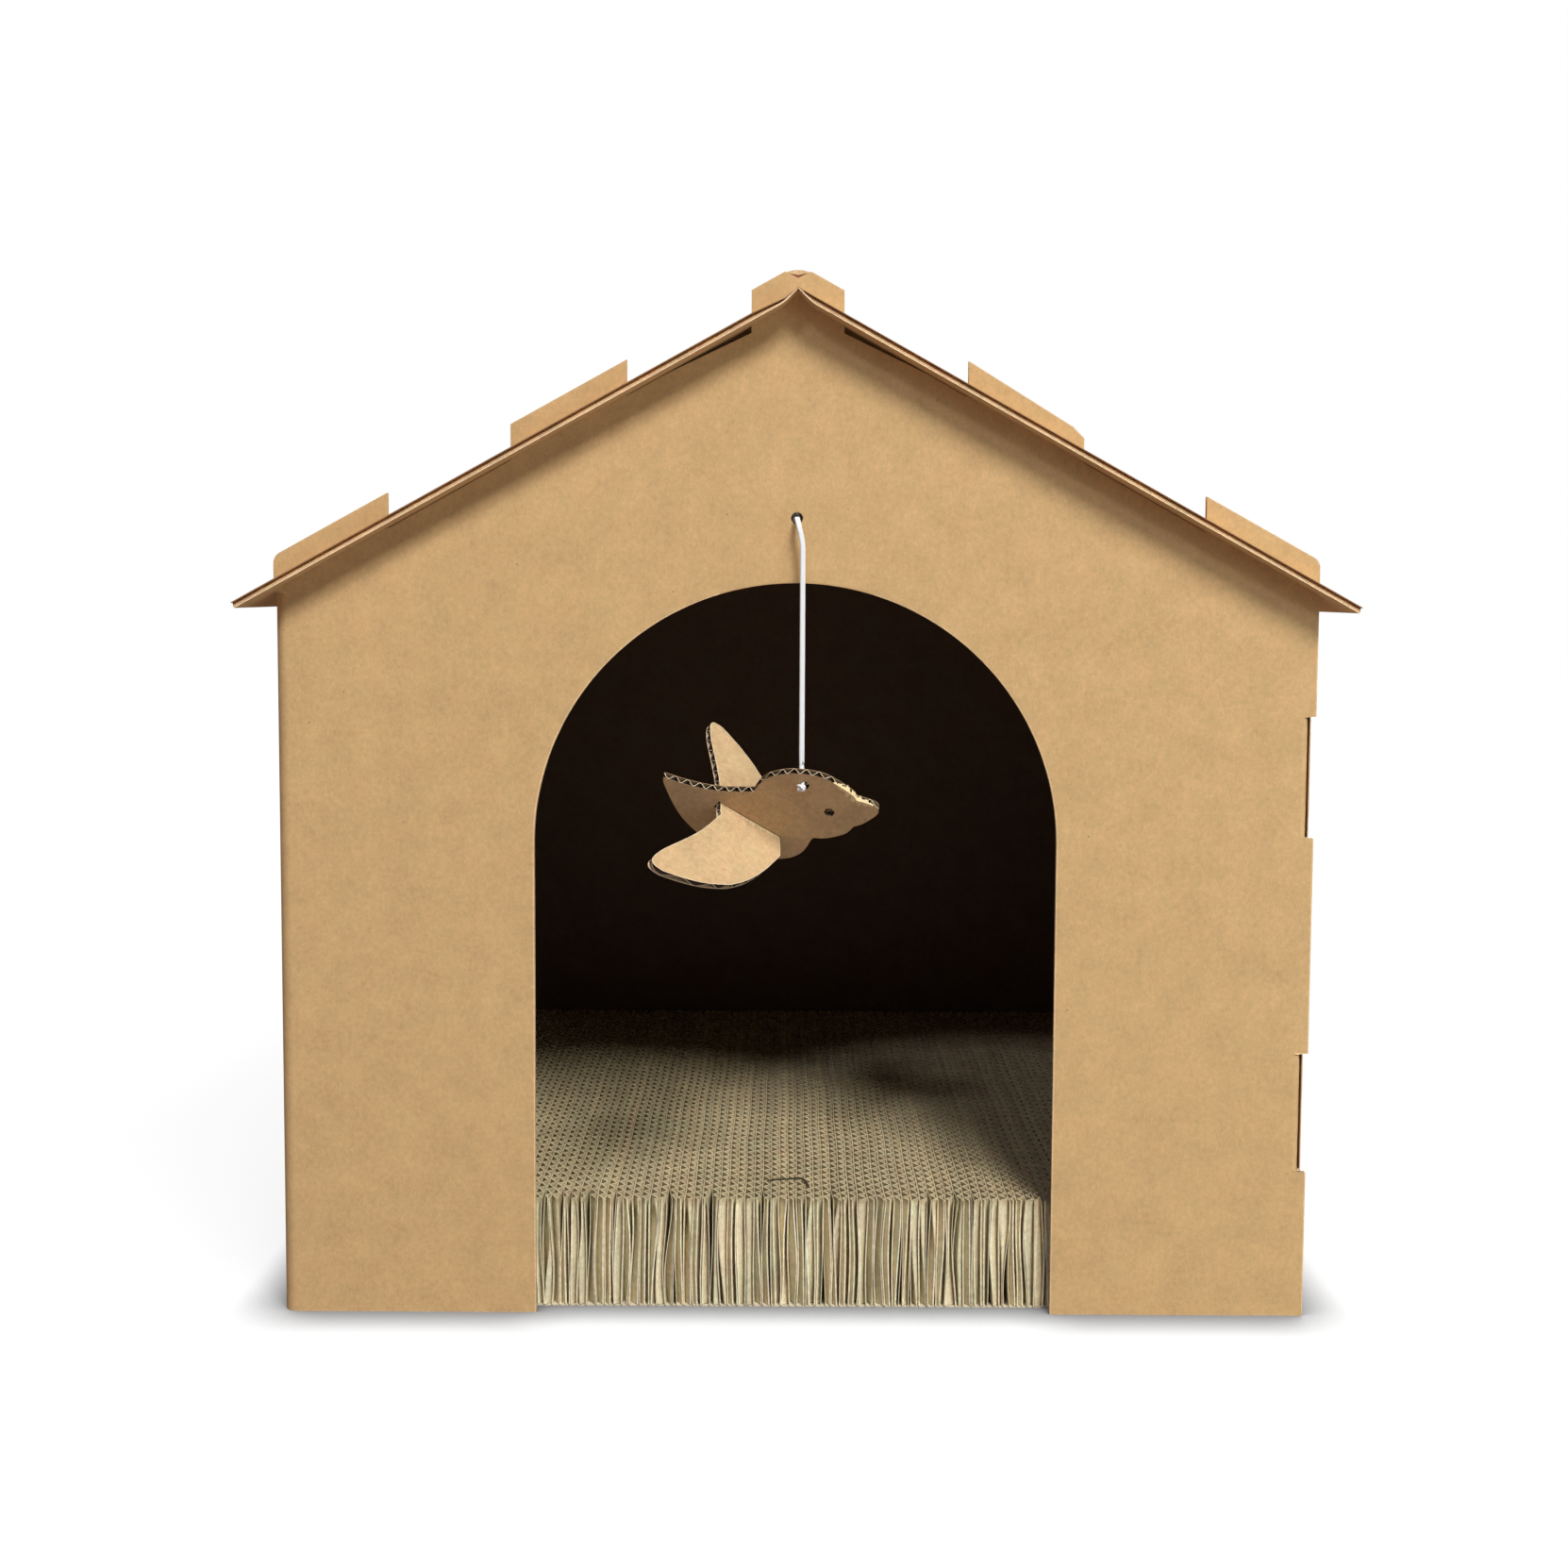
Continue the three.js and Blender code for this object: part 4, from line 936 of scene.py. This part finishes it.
def makePad():
    padDraws()
    half, low, high, tone = pad["halfDepth"], pad["low"], pad["high"], pad["tone"]
    inner, top, leafTop = half - pad["endDepth"], high - pad["cutTop"], high - pad["leafDrop"]
    front = np.linspace(-half + pad["cutFront"], -inner, pad["frontColumns"])
    middle = np.arange(-inner, inner, pad["pitch"] / pad["perFlute"])
    fine, coarse = np.linspace(low, top, pad["fineRows"]), np.linspace(low, top, pad["coarseRows"])
    shown = np.array([high - pad["shownDepth"], top])
    strips, joints = np.arange(pad["layers"]), np.arange(pad["layers"] + 1)
    padPiece("pad_flutes_front", [webGrid(strips, front, fine)], tone[strips], padFlute)
    for name, some in (("left", strips[:pad["leftStrips"]]), ("right", strips[pad["leftStrips"]:])):
        grids = [webGrid(some, middle, shown), webGrid(some, -front[::-1], coarse)]
        padPiece(f"pad_flutes_{name}", grids, tone[some], padFlute)
    leafFront = -half + np.array(pad["leafPlaces"]) * mm
    leafMiddle = np.linspace(-inner, inner, pad["leafColumns"])
    mixed = tone[draws.permutation(len(joints))]
    for name, side in (("left", -1), ("right", 1)):
        grids = [leafGrid(joints, side, leafFront, np.linspace(low, leafTop, pad["fineRows"])),
                 leafGrid(joints, side, leafMiddle, np.linspace(low, leafTop, 3)),
                 leafGrid(joints, side, -leafFront[::-1], np.linspace(low, leafTop, pad["coarseRows"]))]
        padPiece(f"pad_leaves_{name}", grids, mixed, padPaper)
    # One loose fibre lies on the top, near the front
    bends = np.array([(x * mm, y * mm, high + pad["fibreRadius"]) for x, y in pad["fibre"]])
    mesh, _ = tubeAlong("pad_fibre", smoothLine(bends, 6), pad["fibreRadius"], 8)
    addPiece("pad_fibre", mesh, "pad", [looseFibre], smooth=True)
    nodes["pad_base_sheet"].data.materials.clear()
    nodes["pad_base_sheet"].data.materials.append(baseSheet)
    print("stage: pad")


makePad()


# Floor, backdrop and light
light = {"azimuth": 25, "elevation": 51.5, "distance": 4.8, "size": 1.7, "key": 242.0, "secondAzimuth": -21,
         "secondElevation": 40.3, "secondAngle": 6, "second": 0.36, "secondTone": (0.95, 0.95, 1.1),
         "backAzimuth": 162, "backElevation": 30, "backAngle": 25, "back": 1.3, "backTone": (1, 1, 1),
         "sideFill": 5.5, "sideSize": 0.8, "sidePlace": (1.3, -1.2, 0.35), "sideTone": (0.8, 1.0, 1.04),
         "sky": 0.035, "skyTone": (1.0, 0.86, 0.8, 1), "floorHalf": 6, "floorTone": (0.28, 0.22, 0.2, 1),
         "floorShow": (0.12, 0.12, 0.12, 1), "floorGlow": 0.9, "farGlow": 1.0, "glowFrom": 0.4, "glowTo": 1.0,
         "paintedShadowReach": 26 * mm, "paintedShadowPower": 2.2, "paintedShadowSamples": 16}


def seenRays(tree):
    # 1 for what is seen by the camera, in a gloss or through glass, and 0 for all other rays
    rays = addNode(tree, "LightPath").outputs
    seen = reckoned(tree, "MAXIMUM", rays["Is Camera Ray"], rays["Is Glossy Ray"])
    return reckoned(tree, "MAXIMUM", seen, rays["Is Transmission Ray"])


def makeFloor():
    # To the eye the floor is white, with a painted contact shadow from ambient occlusion where the object
    # stands; to other rays it is grey and matt
    half = light["floorHalf"]
    corners = np.array([(-half, -half, 0), (half, -half, 0), (half, half, 0), (-half, half, 0)])
    floor = bpy.data.objects.new("floor", meshFrom("floor", corners, np.array([[0, 1, 2, 3]])))
    scene.collection.objects.link(floor)
    material = bpy.data.materials.new("whiteFloor")
    material.use_nodes = True
    tree = material.node_tree
    tree.nodes.remove(tree.nodes["Principled BSDF"])
    matt = addNode(tree, "BsdfDiffuse", {"Color": light["floorTone"]}).outputs[0]
    shown = addNode(tree, "BsdfDiffuse", {"Color": light["floorShow"]}).outputs[0]
    # Painted contact shadow: the glow is darkened by ambient occlusion near the object
    paintedContact = addNode(tree, "AmbientOcclusion", {"Distance": light["paintedShadowReach"]},
                      samples=light["paintedShadowSamples"]).outputs["AO"]
    paintedContactShadow = reckoned(tree, "POWER", paintedContact, light["paintedShadowPower"])
    place = addNode(tree, "TexCoord").outputs["Object"]
    away = addNode(tree, "VectorMath", {0: place}, operation="LENGTH").outputs["Value"]
    level = ranged(tree, away, light["glowFrom"], light["glowTo"], light["floorGlow"], light["farGlow"])
    glow = addNode(tree, "Emission", {"Color": paintedContactShadow, "Strength": level}).outputs[0]
    lit = addNode(tree, "AddShader", {0: shown, 1: glow}).outputs[0]
    mix = addNode(tree, "MixShader", {0: seenRays(tree), 1: matt, 2: lit}).outputs[0]
    tree.links.new(mix, tree.nodes["Material Output"].inputs["Surface"])
    floor.data.materials.append(material)


def makeWorld():
    world = bpy.data.worlds.new("studio")
    scene.world = world
    world.use_nodes = True
    tree = world.node_tree
    sky = tree.nodes["Background"]
    sky.inputs["Strength"].default_value = light["sky"]
    sky.inputs["Color"].default_value = light["skyTone"]
    white = addNode(tree, "Background", {"Color": (1, 1, 1, 1), "Strength": 1}).outputs[0]
    mix = addNode(tree, "MixShader", {0: seenRays(tree), 1: sky.outputs[0], 2: white}).outputs[0]
    tree.links.new(mix, tree.nodes["World Output"].inputs["Surface"])


def addLamp(name, kind, power, tone=(1, 1, 1), **settings):
    lamp = bpy.data.objects.new(name, bpy.data.lights.new(name, kind))
    lamp.data.energy, lamp.data.color = power, tone
    for key, value in settings.items():
        setattr(lamp.data, key, value)
    scene.collection.objects.link(lamp)
    return lamp


def makeLamps():
    azimuth, elevation = math.radians(light["azimuth"]), math.radians(light["elevation"])
    across = math.cos(elevation) * light["distance"]
    key = addLamp("key", "AREA", light["key"], shape="DISK", size=light["size"])
    key.rotation_euler = (math.radians(90 - light["elevation"]), 0, azimuth)
    key.location = (across * math.sin(azimuth), cadLow[1] - across * math.cos(azimuth),
                    cadHigh[2] / 2 + light["distance"] * math.sin(elevation))
    for name in ("second", "back"):
        angle = math.radians(light[name + "Angle"])
        sun = addLamp(name, "SUN", light[name], light[name + "Tone"], angle=angle)
        sun.rotation_euler = (math.radians(90 - light[name + "Elevation"]), 0,
                              math.radians(light[name + "Azimuth"]))
    side = addLamp("side", "AREA", light["sideFill"], light["sideTone"], size=light["sideSize"])
    side.location = light["sidePlace"]
    side.rotation_euler = (-side.location).to_track_quat("-Z", "Y").to_euler()


makeFloor()
makeWorld()
makeLamps()
scene.view_settings.view_transform = "Standard"
print("stage: light")
